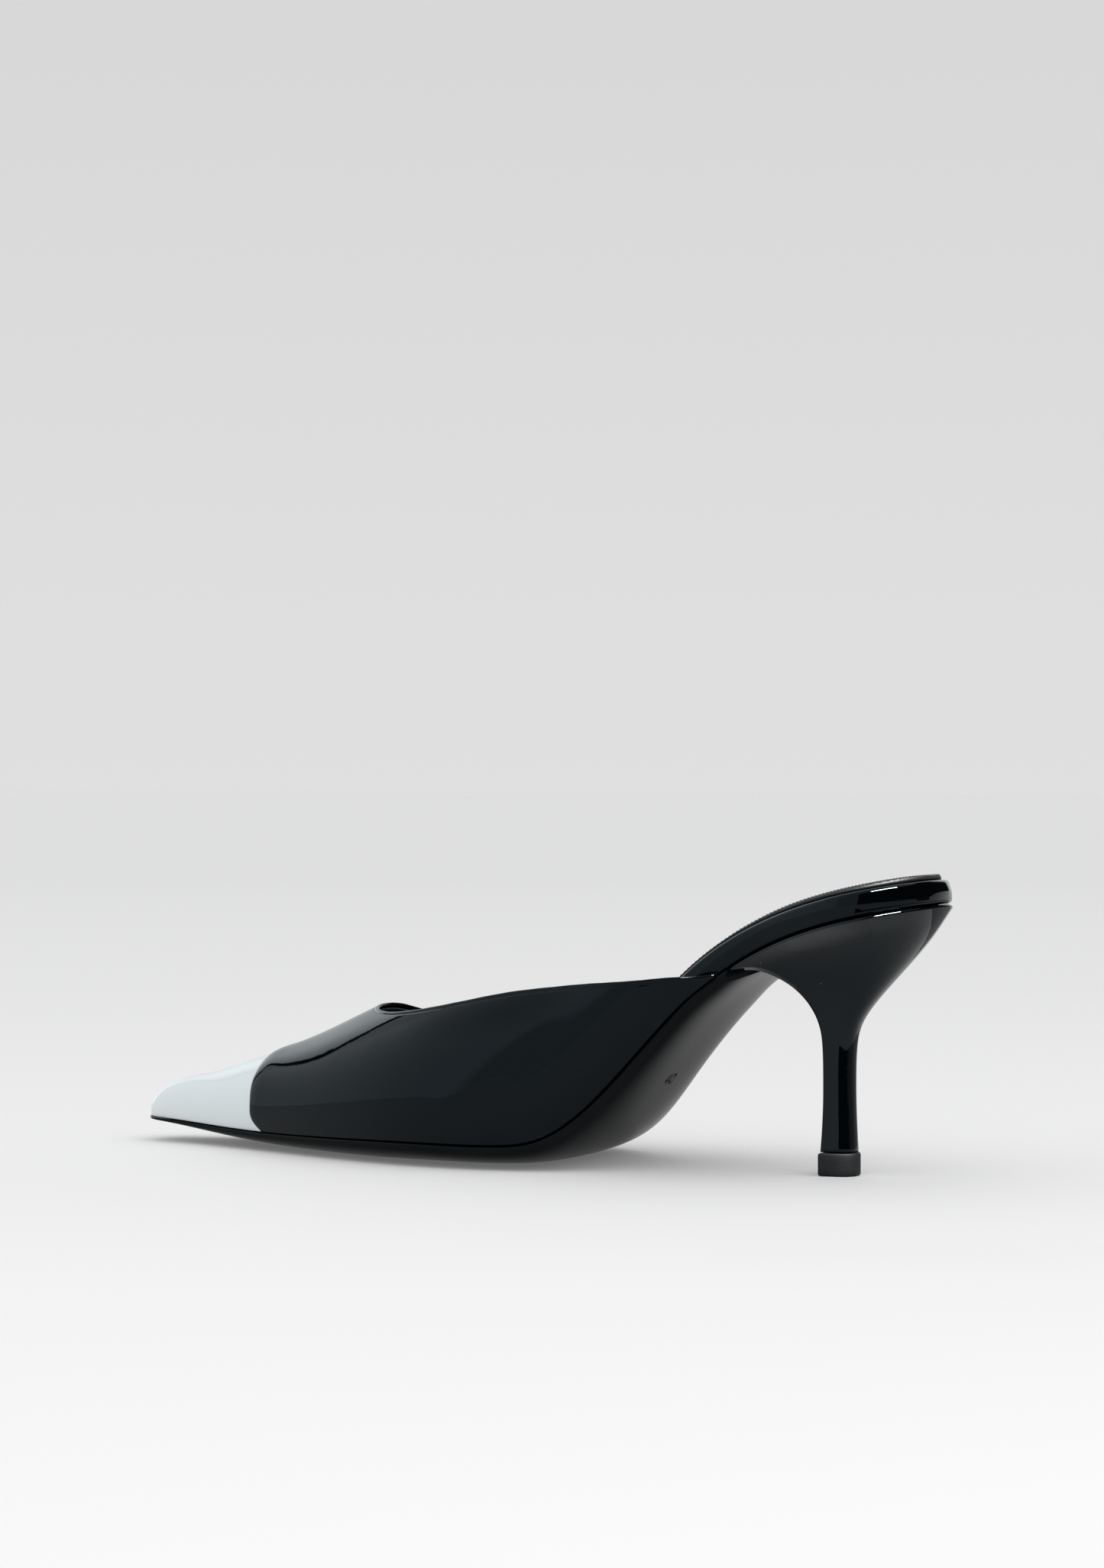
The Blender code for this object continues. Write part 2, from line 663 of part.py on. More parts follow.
def make_heel(material):
    foot = TOP_PIECE_HEIGHT + GAP
    levels = 1 - np.linspace(1, 0, HEEL_RINGS) ** 1.6
    points, faces = [], []
    for level in levels:
        ring = rim_of(heel_plan(level))
        seat = feather_height(station_of(ring[:, 0])) - GAP
        points.append(np.column_stack([ring, foot + (seat - foot) * level]))
    around = len(points[0])
    for r in range(HEEL_RINGS - 1):
        low, high = r * around, (r + 1) * around
        for c in range(around):
            d = (c + 1) % around
            faces.append((low + c, low + d, high + d, high + c))
    faces.append(tuple(range(around))[::-1])
    seat_plan = heel_plan(1.0)
    seat_z = feather_height(station_of(seat_plan[..., :1])) - GAP
    start = HEEL_RINGS * around
    points.append(np.concatenate([seat_plan, seat_z], -1).reshape(-1, 3))
    faces += [tuple(start + i for i in face) for face in grid_faces(*seat_plan.shape[:2])]
    return new_object("heel", np.concatenate(points), faces, material)


def make_top_piece(material):
    """The wearing pad under the heel, a little larger than the heel's foot and eased below."""
    rings = []
    rows = [(0, -0.0004), (0.0005, 0), (TOP_PIECE_HEIGHT - 0.0003, 0), (TOP_PIECE_HEIGHT, -0.0002)]
    for height, inset in rows:
        ring = rim_of(heel_plan(0.0, TOP_PIECE_MARGIN + inset))
        rings.append(np.column_stack([ring, np.full(len(ring), height)]))
    return loft("top_piece", np.array(rings), material)


def centre_across(pieces):
    """Moves all pieces from the foot's own axis to the middle of the shoe's width."""
    y = [vertex.co.y for piece in pieces for vertex in piece.data.vertices]
    middle = (min(y) + max(y)) / 2
    for piece in pieces:
        piece.data.transform(Matrix.Translation((0, -middle, 0)))


for old in list(bpy.data.objects):
    bpy.data.objects.remove(old, do_unlink=True)
COLLECTION = bpy.data.collections.new("kitten_heel_mule")
bpy.context.scene.collection.children.link(COLLECTION)

black_patent = finish("black_patent", (0.012, 0.013, 0.015), 0.06, 1.0)
white_patent = finish("white_patent", (0.66, 0.71, 0.73), 0.10, 1.0)
sole_leather = finish("sole_leather", (0.030, 0.034, 0.034), 0.35, 0.2)
sock_leather = finish("sock_leather", (0.016, 0.017, 0.019), 0.45)
black_rubber = finish("black_rubber", (0.022, 0.024, 0.026), 0.60)

centre_across([
    make_upper(black_patent),
    make_toe_cap(white_patent),
    make_insole(black_patent),
    make_sock(sock_leather),
    make_outsole(sole_leather),
    make_heel(black_patent),
    make_top_piece(black_rubber),
])
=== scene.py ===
"""Kitten heel mule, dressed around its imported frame: one right shoe in black and white patent.

Metres, +Z up, the toe towards -X, the inner side of the foot towards -Y, the floor at Z = 0.
"""

import bmesh
import bpy
import numpy as np
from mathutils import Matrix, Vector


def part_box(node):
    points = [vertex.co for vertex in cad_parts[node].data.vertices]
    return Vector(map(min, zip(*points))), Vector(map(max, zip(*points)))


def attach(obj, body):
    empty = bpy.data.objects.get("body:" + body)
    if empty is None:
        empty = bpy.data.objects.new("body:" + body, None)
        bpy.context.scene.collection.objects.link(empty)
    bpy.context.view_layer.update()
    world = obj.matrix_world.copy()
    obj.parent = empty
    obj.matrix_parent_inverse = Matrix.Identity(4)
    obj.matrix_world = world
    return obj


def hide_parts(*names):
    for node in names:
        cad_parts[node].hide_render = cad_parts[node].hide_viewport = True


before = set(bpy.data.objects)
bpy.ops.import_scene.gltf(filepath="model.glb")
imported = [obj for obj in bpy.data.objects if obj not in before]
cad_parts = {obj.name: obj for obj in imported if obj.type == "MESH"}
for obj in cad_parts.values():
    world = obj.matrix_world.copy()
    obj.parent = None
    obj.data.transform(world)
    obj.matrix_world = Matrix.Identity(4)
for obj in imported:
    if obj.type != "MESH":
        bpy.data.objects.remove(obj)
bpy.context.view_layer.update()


# Insole board
# A stiff board as long as the foot. From the waist back it is thick, and a strip of black
# patent is pulled over its edge and glued down, so that it shows as a shiny rounded rim.
LENGTH = 0.2485
BALL_WIDTH = 0.0717
WAIST_WIDTH = 0.0360
SEAT_WIDTH = 0.0528
TOE_WIDTH = 0.0110
HEEL_HEIGHT = 0.0734
TREAD_DEPTH = 0.0066
UPPER_WALL = 0.0018
CAP_WALL = 0.0010
CAP_DROP = 0.0013
CAP_SIDE_DROP = 0.30
SOLE_THICKNESS = 0.0030
GAP = 0.0003
TOE_NOSE = 0.0060
SEAT_ROUND = 0.0250
SEAT_POWER = 2.2
INSOLE_TOE = 0.984
INSOLE_RIM = 0.0065
INSOLE_FORE = 0.0024
THINS_FROM = 0.29
THIN_AT = 0.36
RIM_EDGE = 0.0013
RIM_BULGE = 0.00022
CAP_TUCK_START = 0.755
CAP_TUCK_END = 0.782
HOLLOW_START = 0.24
HOLLOW_FULL = 0.42
MERGE_DISTANCE = 2e-6
RING_POINTS = 190
EDGE_STEPS = 7
UPRIGHT_STEPS = 5
FLAT_COLUMNS = 7

# Columns: station from the heel, width, medial share, lateral share
OUTLINE = np.array([
    (0.000, SEAT_WIDTH, 0.505, 0.505),
    (0.038, SEAT_WIDTH, 0.500, 0.500),
    (0.088, SEAT_WIDTH, 0.470, 0.472),
    (0.138, SEAT_WIDTH, 0.412, 0.425),
    (0.188, WAIST_WIDTH, 0.505, 0.650),
    (0.237, WAIST_WIDTH, 0.464, 0.650),
    (0.287, WAIST_WIDTH, 0.475, 0.650),
    (0.337, WAIST_WIDTH, 0.575, 0.640),
    (0.386, BALL_WIDTH, 0.355, 0.384),
    (0.436, BALL_WIDTH, 0.418, 0.460),
    (0.496, BALL_WIDTH, 0.460, 0.520),
    (0.565, BALL_WIDTH, 0.464, 0.536),
    (0.645, BALL_WIDTH, 0.418, 0.486),
    (0.724, BALL_WIDTH, 0.338, 0.400),
    (0.804, BALL_WIDTH, 0.243, 0.298),
    (0.883, BALL_WIDTH, 0.152, 0.186),
    (0.943, TOE_WIDTH, 0.640, 0.740),
    (1.000, TOE_WIDTH, 0.500, 0.500),
])
# Columns: station, height that is shared, share
FEATHER_LINE = np.array([
    (0.000, HEEL_HEIGHT, 1.002),
    (0.060, HEEL_HEIGHT, 0.962),
    (0.120, HEEL_HEIGHT, 0.911),
    (0.180, HEEL_HEIGHT, 0.838),
    (0.230, HEEL_HEIGHT, 0.744),
    (0.280, HEEL_HEIGHT, 0.600),
    (0.330, HEEL_HEIGHT, 0.405),
    (0.375, HEEL_HEIGHT, 0.233),
    (0.420, HEEL_HEIGHT, 0.122),
    (0.470, TREAD_DEPTH, 1.022),
    (0.550, TREAD_DEPTH, 1.012),
    (0.700, TREAD_DEPTH, 0.922),
    (0.850, TREAD_DEPTH, 0.878),
    (1.000, TREAD_DEPTH, 1.140),
])
# Columns: station, depth of the sole below the feather line as a share of TREAD_DEPTH
SOLE_DEPTH = np.array([
    (0.158, 0.60),
    (0.247, 0.64),
    (0.327, 0.70),
    (0.406, 0.88),
    (0.486, 1.00),
    (0.565, 1.03),
    (0.645, 1.00),
    (0.724, 0.87),
    (0.804, 0.70),
    (0.883, 0.48),
    (0.943, 0.29),
    (1.000, 0.12),
])


def smooth(knots, values):
    """Natural cubic spline: on each span a line between its ends plus two cubic terms, whose
    weights (the second slopes at the knots) come from one set of linear equations."""
    h = np.diff(knots)
    inner = np.zeros(len(knots))
    inner[1:-1] = 2 * (h[:-1] + h[1:])
    inner[[0, -1]] = 1
    system = np.diag(inner) + np.diag(np.r_[h[:-1], 0], -1) + np.diag(np.r_[0, h[1:]], 1)
    slopes = np.diff(values) / h
    bend = np.linalg.solve(system, np.r_[0, 6 * np.diff(slopes), 0])

    def value(at):
        at = np.clip(at, knots[0], knots[-1])
        i = np.clip(np.searchsorted(knots, at) - 1, 0, len(h) - 1)
        a = (knots[i + 1] - at) / h[i]
        b = (at - knots[i]) / h[i]
        curve = ((a**3 - a) * bend[i] + (b**3 - b) * bend[i + 1]) * h[i] ** 2 / 6
        return a * values[i] + b * values[i + 1] + curve

    return value


def ramp(at, start, end):
    """S curve 3s2 - 2s3 of the share s of the way from start to end."""
    share = np.clip((at - start) / (end - start), 0, 1)
    return share * share * (3 - 2 * share)


def rounding(distance, length, power):
    """Superellipse: (1 - (1 - distance / length) ^ power) ^ (1 / power), and 1 past length."""
    share = 1 - np.clip(distance / length, 0, 1)
    return (1 - share**power) ** (1 / power)


outline_medial = smooth(OUTLINE[:, 0], OUTLINE[:, 1] * OUTLINE[:, 2])
outline_lateral = smooth(OUTLINE[:, 0], OUTLINE[:, 1] * OUTLINE[:, 3])
feather_height = smooth(FEATHER_LINE[:, 0], FEATHER_LINE[:, 1] * FEATHER_LINE[:, 2])
sole_depth = smooth(SOLE_DEPTH[:, 0], SOLE_DEPTH[:, 1] * TREAD_DEPTH)


def place_x(station):
    return LENGTH * (0.5 - station)


def station_of(x):
    return 0.5 - x / LENGTH


def half_width(station, side):
    """The two splines of the outline: medial where side is negative, lateral elsewhere."""
    return np.where(side < 0, outline_medial(station), outline_lateral(station))


def insole_half_width(station, side):
    """Outline less what the cap takes, times a superellipse at the toe and one at the seat."""
    cap = CAP_WALL + GAP + CAP_SIDE_DROP * CAP_DROP
    drawn_in = cap * ramp(station, CAP_TUCK_START, CAP_TUCK_END)
    toe = rounding(LENGTH * (INSOLE_TOE - station), TOE_NOSE, 2)
    seat = rounding(LENGTH * station, SEAT_ROUND, SEAT_POWER)
    return (half_width(station, side) - drawn_in) * toe * seat


def upper_edge(station, side, inset=0.0):
    """Half width of the upper at the feather line: outline plus wall, times the toe's circle."""
    nose = rounding(LENGTH * (1 - station) - inset, TOE_NOSE, 2)
    return (half_width(station, side) + UPPER_WALL + GAP) * nose


def hollow(station, y, side):
    """Belly of the last under the ball: its depth times 1 - (y / edge) ^ 2."""
    belly = np.maximum(sole_depth(station) - SOLE_THICKNESS, 0)
    belly = belly * ramp(station, HOLLOW_START, HOLLOW_FULL)
    edge = np.maximum(upper_edge(station, side), 1e-6)
    return belly * np.maximum(1 - (y / edge) ** 2, 0)


def from_feather(station, y, lift, plumb=0.0):
    """The feather line's point plus lift along its normal in the XZ plane, or along Z where
    plumb is 1. The normal comes from the line's slope over a short step."""
    step = 0.002
    rise = feather_height(station - step) - feather_height(station + step)
    angle = np.arctan2(rise, 2 * step * LENGTH)
    sine, cosine = np.sin(angle), np.cos(angle)
    x = place_x(station) - sine * lift * (1 - plumb)
    z = feather_height(station) + lift * (cosine * (1 - plumb) + plumb / cosine)
    return np.stack(np.broadcast_arrays(x, y, z), -1)


def grid_quads(rows, columns, start, wrap):
    """Corner numbers of the quads of a grid stored row by row, as (quads, 4)."""
    index = start + np.arange(rows * columns).reshape(rows, columns)
    if wrap:
        index = np.concatenate([index, index[:, :1]], 1)
    corners = index[:-1, :-1], index[:-1, 1:], index[1:, 1:], index[1:, :-1]
    return np.stack(corners, -1).reshape(-1, 4)


# The foot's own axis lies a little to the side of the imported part's middle: the heel is on it
tip_low, tip_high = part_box("top_piece")
foot_axis = (tip_low.y + tip_high.y) / 2


def make_skin(name, grids, wrap=False):
    """One mesh from grids of points (rows, columns, 3). Points that meet are merged, so that
    grids which share an edge close up, and the faces are then turned outwards. The columns of
    the first grid run round in a ring where wrap is set. Y is measured from the foot's axis."""
    quads = []
    start = 0
    for number, grid in enumerate(grids):
        quads.append(grid_quads(*grid.shape[:2], start, wrap and number == 0))
        start += grid.shape[0] * grid.shape[1]
    points = np.concatenate([grid.reshape(-1, 3) for grid in grids]) + (0, foot_axis, 0)
    mesh = bpy.data.meshes.new(name)
    mesh.from_pydata(points.tolist(), [], np.concatenate(quads).tolist())
    work = bmesh.new()
    work.from_mesh(mesh)
    bmesh.ops.remove_doubles(work, verts=work.verts, dist=MERGE_DISTANCE)
    bmesh.ops.dissolve_degenerate(work, edges=work.edges, dist=1e-7)
    bmesh.ops.recalc_face_normals(work, faces=work.faces)
    work.to_mesh(mesh)
    work.free()
    mesh.shade_smooth()
    piece = bpy.data.objects.new(name, mesh)
    bpy.context.scene.collection.objects.link(piece)
    return piece


def plan_ring(half, start, end, count):
    """Closed outline in plan: stations spaced evenly along the medial edge, first down that
    side and then back up the lateral one at the same stations. Also each point's outward
    normal, from the chord between its neighbours."""
    fine = start + (end - start) * (1 - np.cos(np.linspace(0, np.pi, 3001))) / 2
    line = np.column_stack([place_x(fine), half(fine, -1)])
    run = np.r_[0, np.cumsum(np.hypot(*np.diff(line, axis=0).T))]
    stations = np.interp(np.linspace(0, run[-1], count), run, fine)
    ring = np.r_[stations, stations[-2:0:-1]]
    side = np.r_[-np.ones(count), np.ones(count - 2)]
    y = side * half(ring, side)
    x = place_x(ring)
    chord_x = np.roll(x, -1) - np.roll(x, 1)
    chord_y = np.roll(y, -1) - np.roll(y, 1)
    length = np.hypot(chord_x, chord_y)
    return ring, y, side, -chord_y / length, chord_x / length


def insole_thickness(station):
    """Thin inside the upper and thick from the waist back, with an S curve between."""
    return INSOLE_FORE + (INSOLE_RIM - INSOLE_FORE) * ramp(station, THIN_AT, THINS_FROM)


def rim_profile(thickness, edge, bulge, steps):
    """Inset and lift of a rounded edge, from below to above: a quarter circle, an upright that
    swells by bulge in its middle, and a quarter circle."""
    turn = np.linspace(-np.pi / 2, 0, steps)
    radius = np.minimum(edge, 0.45 * thickness)[:, None]
    below = radius * (1 - np.cos(turn)), radius * (1 + np.sin(turn))
    above = below[0][:, ::-1], thickness[:, None] - below[1][:, ::-1]
    way = np.linspace(0, 1, UPRIGHT_STEPS + 2)[None, 1:-1]
    upright = -bulge * np.sin(np.pi * way) * (thickness[:, None] / INSOLE_RIM)
    lift = radius + (thickness[:, None] - 2 * radius) * way
    inset = np.concatenate([below[0], upright, above[0]], 1)
    return inset, np.concatenate([below[1], lift, above[1]], 1)


ring, ring_y, ring_side, out_x, out_y = plan_ring(insole_half_width, 0, INSOLE_TOE, RING_POINTS)
thickness = insole_thickness(ring)
inset, lift = rim_profile(thickness, RIM_EDGE, RIM_BULGE, EDGE_STEPS)
rim_station = station_of(place_x(ring)[:, None] - out_x[:, None] * inset)
rim_y = ring_y[:, None] - out_y[:, None] * inset
inward = np.linspace(0, 1, FLAT_COLUMNS + 1)[None, 1:]
spine = np.clip(ring, 0.05, INSOLE_TOE - 0.01)[:, None]
top_station = rim_station[:, -1:] + (spine - rim_station[:, -1:]) * inward
top_y = rim_y[:, -1:] * (1 - inward)
stations = np.concatenate([top_station[:, ::-1], rim_station, top_station], 1)
widths = np.concatenate([top_y[:, ::-1], rim_y, top_y], 1)
thick = insole_thickness(stations)
under = 0 * top_y + np.r_[-0.9 * GAP * np.ones(FLAT_COLUMNS - 1), 0][None, :]
lifts = np.concatenate([under, lift, thick[:, -FLAT_COLUMNS:]], 1)
board = from_feather(stations, widths, lifts - hollow(stations, widths, ring_side[:, None]))
insole = make_skin("insole_rim", [board.transpose(1, 0, 2)], wrap=True)


def new_group(name, inputs, outputs):
    """An empty shader node group with float inputs and the outputs named with their types."""
    group = bpy.data.node_groups.new(name, "ShaderNodeTree")
    for label, value in inputs.items():
        socket = group.interface.new_socket(label, in_out="INPUT", socket_type="NodeSocketFloat")
        socket.default_value = value
    for label, kind in outputs.items():
        group.interface.new_socket(label, in_out="OUTPUT", socket_type=kind)
    return group


def add_node(tree, kind, settings=None, **links):
    """A node with its settings, and each named input set to a value or linked to a socket.
    In a name, _ stands for a space, and i with a number is the input of that number."""
    node = tree.nodes.new("ShaderNode" + kind)
    for key, value in (settings or {}).items():
        setattr(node, key, value)
    for key, value in links.items():
        numbered = key[0] == "i" and key[1:].isdigit()
        socket = node.inputs[int(key[1:]) if numbered else key.replace("_", " ")]
        if isinstance(value, bpy.types.NodeSocket):
            tree.links.new(value, socket)
        else:
            socket.default_value = value
    return node


def calc(tree, operation, a, b=0.0, c=0.0):
    """The output of a Math node on up to three values or sockets."""
    return add_node(tree, "Math", {"operation": operation}, i0=a, i1=b, i2=c).outputs[0]


def remap(tree, value, start, end, low=0.0, high=1.0, soft=False):
    """From low to high while the value goes from start to end, with an S between if soft."""
    settings = {"interpolation_type": "SMOOTHSTEP" if soft else "LINEAR"}
    span = {"From_Min": start, "From_Max": end, "To_Min": low, "To_Max": high}
    return add_node(tree, "MapRange", settings, Value=value, **span).outputs[0]


# Patent skin: the film's slow waves, the finer ripple of the leather under it, and dust,
# which lies in the middle of some of the cells of a coarse pattern
WAVE_RISE = 1e-4
RIPPLE_RISE = 1e-5
DUST_CELLS = 140.0
DUST_RADIUS = 0.030
DUST_CORE = 0.018
DUST_PICK = 0.82
DUST_ROUGHNESS = 0.6
patent_skin = new_group(
    "patent_skin",
    {
        "Wave Size": 0.016,
        "Wave Height": 1.0,
        "Ripple Size": 0.0030,
        "Ripple Height": 1.0,
        "Dust": 1.0,
    },
    {"Height": "NodeSocketFloat", "Dust Mask": "NodeSocketFloat"},
)
given = patent_skin.nodes.new("NodeGroupInput").outputs
coords = patent_skin.nodes.new("ShaderNodeTexCoord").outputs["Object"]
wave_scale = calc(patent_skin, "DIVIDE", 1.0, given["Wave Size"])
wave = add_node(patent_skin, "TexNoise", Vector=coords, Scale=wave_scale, Detail=1.0)
ripple_scale = calc(patent_skin, "DIVIDE", 1.0, given["Ripple Size"])
ripple = add_node(patent_skin, "TexNoise", Vector=coords, Scale=ripple_scale, Detail=2.0)
wave_rise = calc(patent_skin, "MULTIPLY", given["Wave Height"], WAVE_RISE)
wave_height = calc(patent_skin, "MULTIPLY", wave.outputs[0], wave_rise)
ripple_rise = calc(patent_skin, "MULTIPLY", given["Ripple Height"], RIPPLE_RISE)
ripple_height = calc(patent_skin, "MULTIPLY", ripple.outputs[0], ripple_rise)
cells = add_node(patent_skin, "TexVoronoi", Vector=coords, Scale=DUST_CELLS)
speck = remap(patent_skin, cells.outputs["Distance"], DUST_RADIUS, DUST_CORE)
chance = add_node(patent_skin, "SeparateColor", Color=cells.outputs["Color"]).outputs[0]
picked = calc(patent_skin, "GREATER_THAN", chance, DUST_PICK)
dust = calc(patent_skin, "MULTIPLY", speck, picked)
dust = calc(patent_skin, "MULTIPLY", dust, given["Dust"])
result = patent_skin.nodes.new("NodeGroupOutput").inputs
patent_skin.links.new(calc(patent_skin, "ADD", wave_height, ripple_height), result["Height"])
patent_skin.links.new(dust, result["Dust Mask"])


def new_material(name):
    """A material with a bare Principled BSDF. Returns it, its node tree and the shader."""
    material = bpy.data.materials.new(name)
    material.use_nodes = True
    return material, material.node_tree, material.node_tree.nodes["Principled BSDF"]


def patent(name, colour, dusty, roughness, specular, tint=(1, 1, 1), **skin):
    """Patent leather: a dark or white ground under a clear film, with the shared skin. tint
    colours what the film mirrors, and dusty is the colour of a speck."""
    material, tree, shader = new_material(name)
    group = add_node(tree, "Group", {"node_tree": patent_skin})
    for label, value in skin.items():
        group.inputs[label.replace("_", " ")].default_value = value
    mixed = add_node(tree, "Mix", {"data_type": "RGBA"}, i0=group.outputs["Dust Mask"])
    mixed.inputs[6].default_value = (*colour, 1)
    mixed.inputs[7].default_value = (*dusty, 1)
    tree.links.new(mixed.outputs[2], shader.inputs["Base Color"])
    matt = remap(tree, group.outputs["Dust Mask"], 0, 1, roughness, DUST_ROUGHNESS)
    tree.links.new(matt, shader.inputs["Roughness"])
    bump = add_node(tree, "Bump", Height=group.outputs["Height"], Strength=1.0, Distance=1.0)
    tree.links.new(bump.outputs[0], shader.inputs["Normal"])
    shader.inputs["Specular IOR Level"].default_value = specular
    shader.inputs["Specular Tint"].default_value = (*tint, 1)
    return material


black_patent = patent(
    "black_patent",
    colour=(0.0008, 0.0013, 0.0020),
    dusty=(0.10, 0.12, 0.12),
    roughness=0.035,
    specular=0.165,
    tint=(0.72, 0.90, 1.0),
)
insole.data.materials.append(black_patent)
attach(insole, "root")
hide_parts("insole")


# Upper
# Vamp and quarters, cut in one piece from black patent and pulled over the last. Its top
# edge is turned over, and its front edge laps over the toe cap as a soft rounded shoulder.
THROAT_HEIGHT = 0.0440
SHOULDER_TOP = 0.0062
SHOULDER_FOOT = 0.0022
PATENT_THICKNESS = 0.0009
BEAD_WIDTH = 0.0011
BEAD_HEIGHT = 0.00012
GROOVE_WIDTH = 0.00022
GROOVE_DEPTH = 0.00016
FRONT_SINK = 0.0004
HIDDEN_MARGIN = 0.0006
HIDDEN_COLUMNS = 26
HIDDEN_DEPTH = CAP_WALL + GAP
HALF_ROWS = 71
ROW_CURVE = 1.3
EDGE_COLUMNS = 18
CREASE_STATION = 0.505
CREASE_SLANT = 0.34
CREASE_WIDTH = 0.0065
CREASE_HEIGHT = 0.00030
TROUGH_SHARE = 0.8
TROUGH_OFFSET = 1.6
# Columns: station, height as a share of THROAT_HEIGHT
RIDGE_LINE = np.array([
    (0.20, 1.756),
    (0.30, 1.598),
    (0.42, 1.411),
    (0.55, 1.212),
    (0.62, 1.092),
    (0.68, 0.968),
    (0.74, 0.817),
    (0.80, 0.686),
    (0.85, 0.609),
    (0.91, 0.504),
    (0.96, 0.442),
    (1.00, 0.340),
])
# Columns: station, bulge as a share of BALL_WIDTH, rise, crown as a share of BALL_WIDTH
WALLS = np.array([
    (0.188, 0.030, 0.300, 0.52),
    (0.257, 0.080, 0.320, 0.50),
    (0.327, 0.150, 0.330, 0.46),
    (0.406, 0.150, 0.380, 0.42),
    (0.486, 0.130, 0.440, 0.40),
    (0.585, 0.115, 0.470, 0.36),
    (0.685, 0.095, 0.480, 0.28),
    (0.784, 0.070, 0.500, 0.22),
    (0.883, 0.042, 0.520, 0.15),
    (0.943, 0.026, 0.540, 0.10),
    (1.000, 0.018, 0.550, 0.07),
])
# Columns: row of the mesh, station, medial and lateral share of the way up
TOPLINE = np.array([
    (0.0, 0.235, 0.000, 0.000),
    (0.1, 0.262, 0.175, 0.160),
    (0.2, 0.290, 0.320, 0.290),
    (0.3, 0.331, 0.465, 0.425),
    (0.4, 0.385, 0.575, 0.525),
    (0.5, 0.455, 0.622, 0.570),
    (0.6, 0.530, 0.622, 0.565),
    (0.7, 0.598, 0.640, 0.565),
    (0.8, 0.646, 0.710, 0.635),
    (0.9, 0.673, 0.840, 0.750),
    (1.0, 0.683, 1.000, 1.000),
])
# Columns: share of the way up, station
CAP_SEAM = np.array([
    (0.00, 0.806),
    (0.08, 0.818),
    (0.22, 0.8225),
    (0.45, 0.825),
    (0.70, 0.825),
    (0.85, 0.827),
    (1.00, 0.829),
])
ridge_table = smooth(RIDGE_LINE[:, 0], RIDGE_LINE[:, 1] * THROAT_HEIGHT)
wall_bulge = smooth(WALLS[:, 0], WALLS[:, 1] * BALL_WIDTH)
wall_rise = smooth(WALLS[:, 0], WALLS[:, 2])
wall_crown = smooth(WALLS[:, 0], WALLS[:, 3] * BALL_WIDTH)
topline_station = smooth(TOPLINE[:, 0], TOPLINE[:, 1])
medial_up = smooth(TOPLINE[:, 0], TOPLINE[:, 2])
lateral_up = smooth(TOPLINE[:, 0], TOPLINE[:, 3])
seam_station = smooth(CAP_SEAM[:, 0], CAP_SEAM[:, 1])


def last_form(station, up, side, drop, depth):
    """The shape over the last, depth inside its outer face. Each half section is one cubic
    Bezier from the feather line (up 0) to the ridge (up 1), and drop lowers its top."""
    tip = LENGTH * (1 - station) - depth
    nose = rounding(tip, TOE_NOSE, 2)
    foot = feather_height(station)
    front = 0.5 + 0.5 * rounding(tip, 1.3 * TOE_NOSE, 2)
    top = foot + (ridge_table(station) - foot) * front - drop * nose - depth
    edge = upper_edge(station, side, depth) - (CAP_SIDE_DROP * drop + depth) * nose
    control_y = [edge, edge + wall_bulge(station) * nose, wall_crown(station) * nose, 0 * edge]
    control_z = [foot, foot + wall_rise(station) * (top - foot), top, top]
    weights = [(1 - up) ** 3, 3 * up * (1 - up) ** 2, 3 * up**2 * (1 - up), up**3]
    y = side * sum(w * c for w, c in zip(weights, control_y))
    z = sum(w * c for w, c in zip(weights, control_z))
    return np.stack(np.broadcast_arrays(place_x(station), y, z), -1)


# The rows run from the medial feather line over the ridge, where row is 1, to the lateral one
half_rows = np.linspace(0, 1, HALF_ROWS)
row = np.r_[half_rows, half_rows[-2::-1]][:, None]
side = np.r_[-np.ones(HALF_ROWS), np.ones(HALF_ROWS - 1)][:, None]
low = row**ROW_CURVE
seam = seam_station(low)
edge_up = np.where(side < 0, medial_up(row), lateral_up(row))


def under_cap(depth, margin, count):
    """Stations and shares of the way up under the cap, from the tip to margin before the seam.
    They crowd towards the tip, as the way to the power 1.6."""
    tip = 1 - depth / LENGTH
    end = seam + margin / LENGTH
    station = tip + (end - tip) * np.linspace(0, 1, count)[None, :] ** 1.6
    way = (1 - station) / (1 - end)
    return station, row + (low - row) * way


def along_vamp(trim):
    """Stations and shares of the way up from the seam to trim before the top edge. They crowd
    at both ends, at distances from it in millimetres, and the share of the way up grows with
    the square of the way."""
    end = topline_station(row) + trim / LENGTH
    run = 1000 * LENGTH * (seam - end)
    front = np.r_[0, 0.08, 0.2, 0.4, 0.7, 1.1, 1.6, 2.2, 3, 4, 5, 6, 7.2, 8.6] / run
    back = np.r_[7, 6, 5, 4.2, 3.6, 3.1, 2.7, 2.3, 2, 1.7, 1.4, 1.15, 0.9, 0.7, 0.5, 0.3, 0.15, 0]
    back = 1 - back / run
    middle = front[:, -1:] + (back[:, :1] - front[:, -1:]) * np.linspace(0, 1, 60)[None, 1:-1]
    way = np.concatenate([front, middle, back], 1)
    station = seam + (end - seam) * way
    way_up = (seam - station) / (seam - topline_station(row))
    return station, low + (edge_up - low) * way_up**2


def shoulder_drop(station):
    """How far the vamp falls to the cap: a quarter circle over the shoulder's length."""
    reach = SHOULDER_FOOT + (SHOULDER_TOP - SHOULDER_FOOT) * low
    left = np.clip(1 - LENGTH * (seam - station) / reach, 0, 1)
    return CAP_DROP * (1 - np.sqrt(1 - left**2))


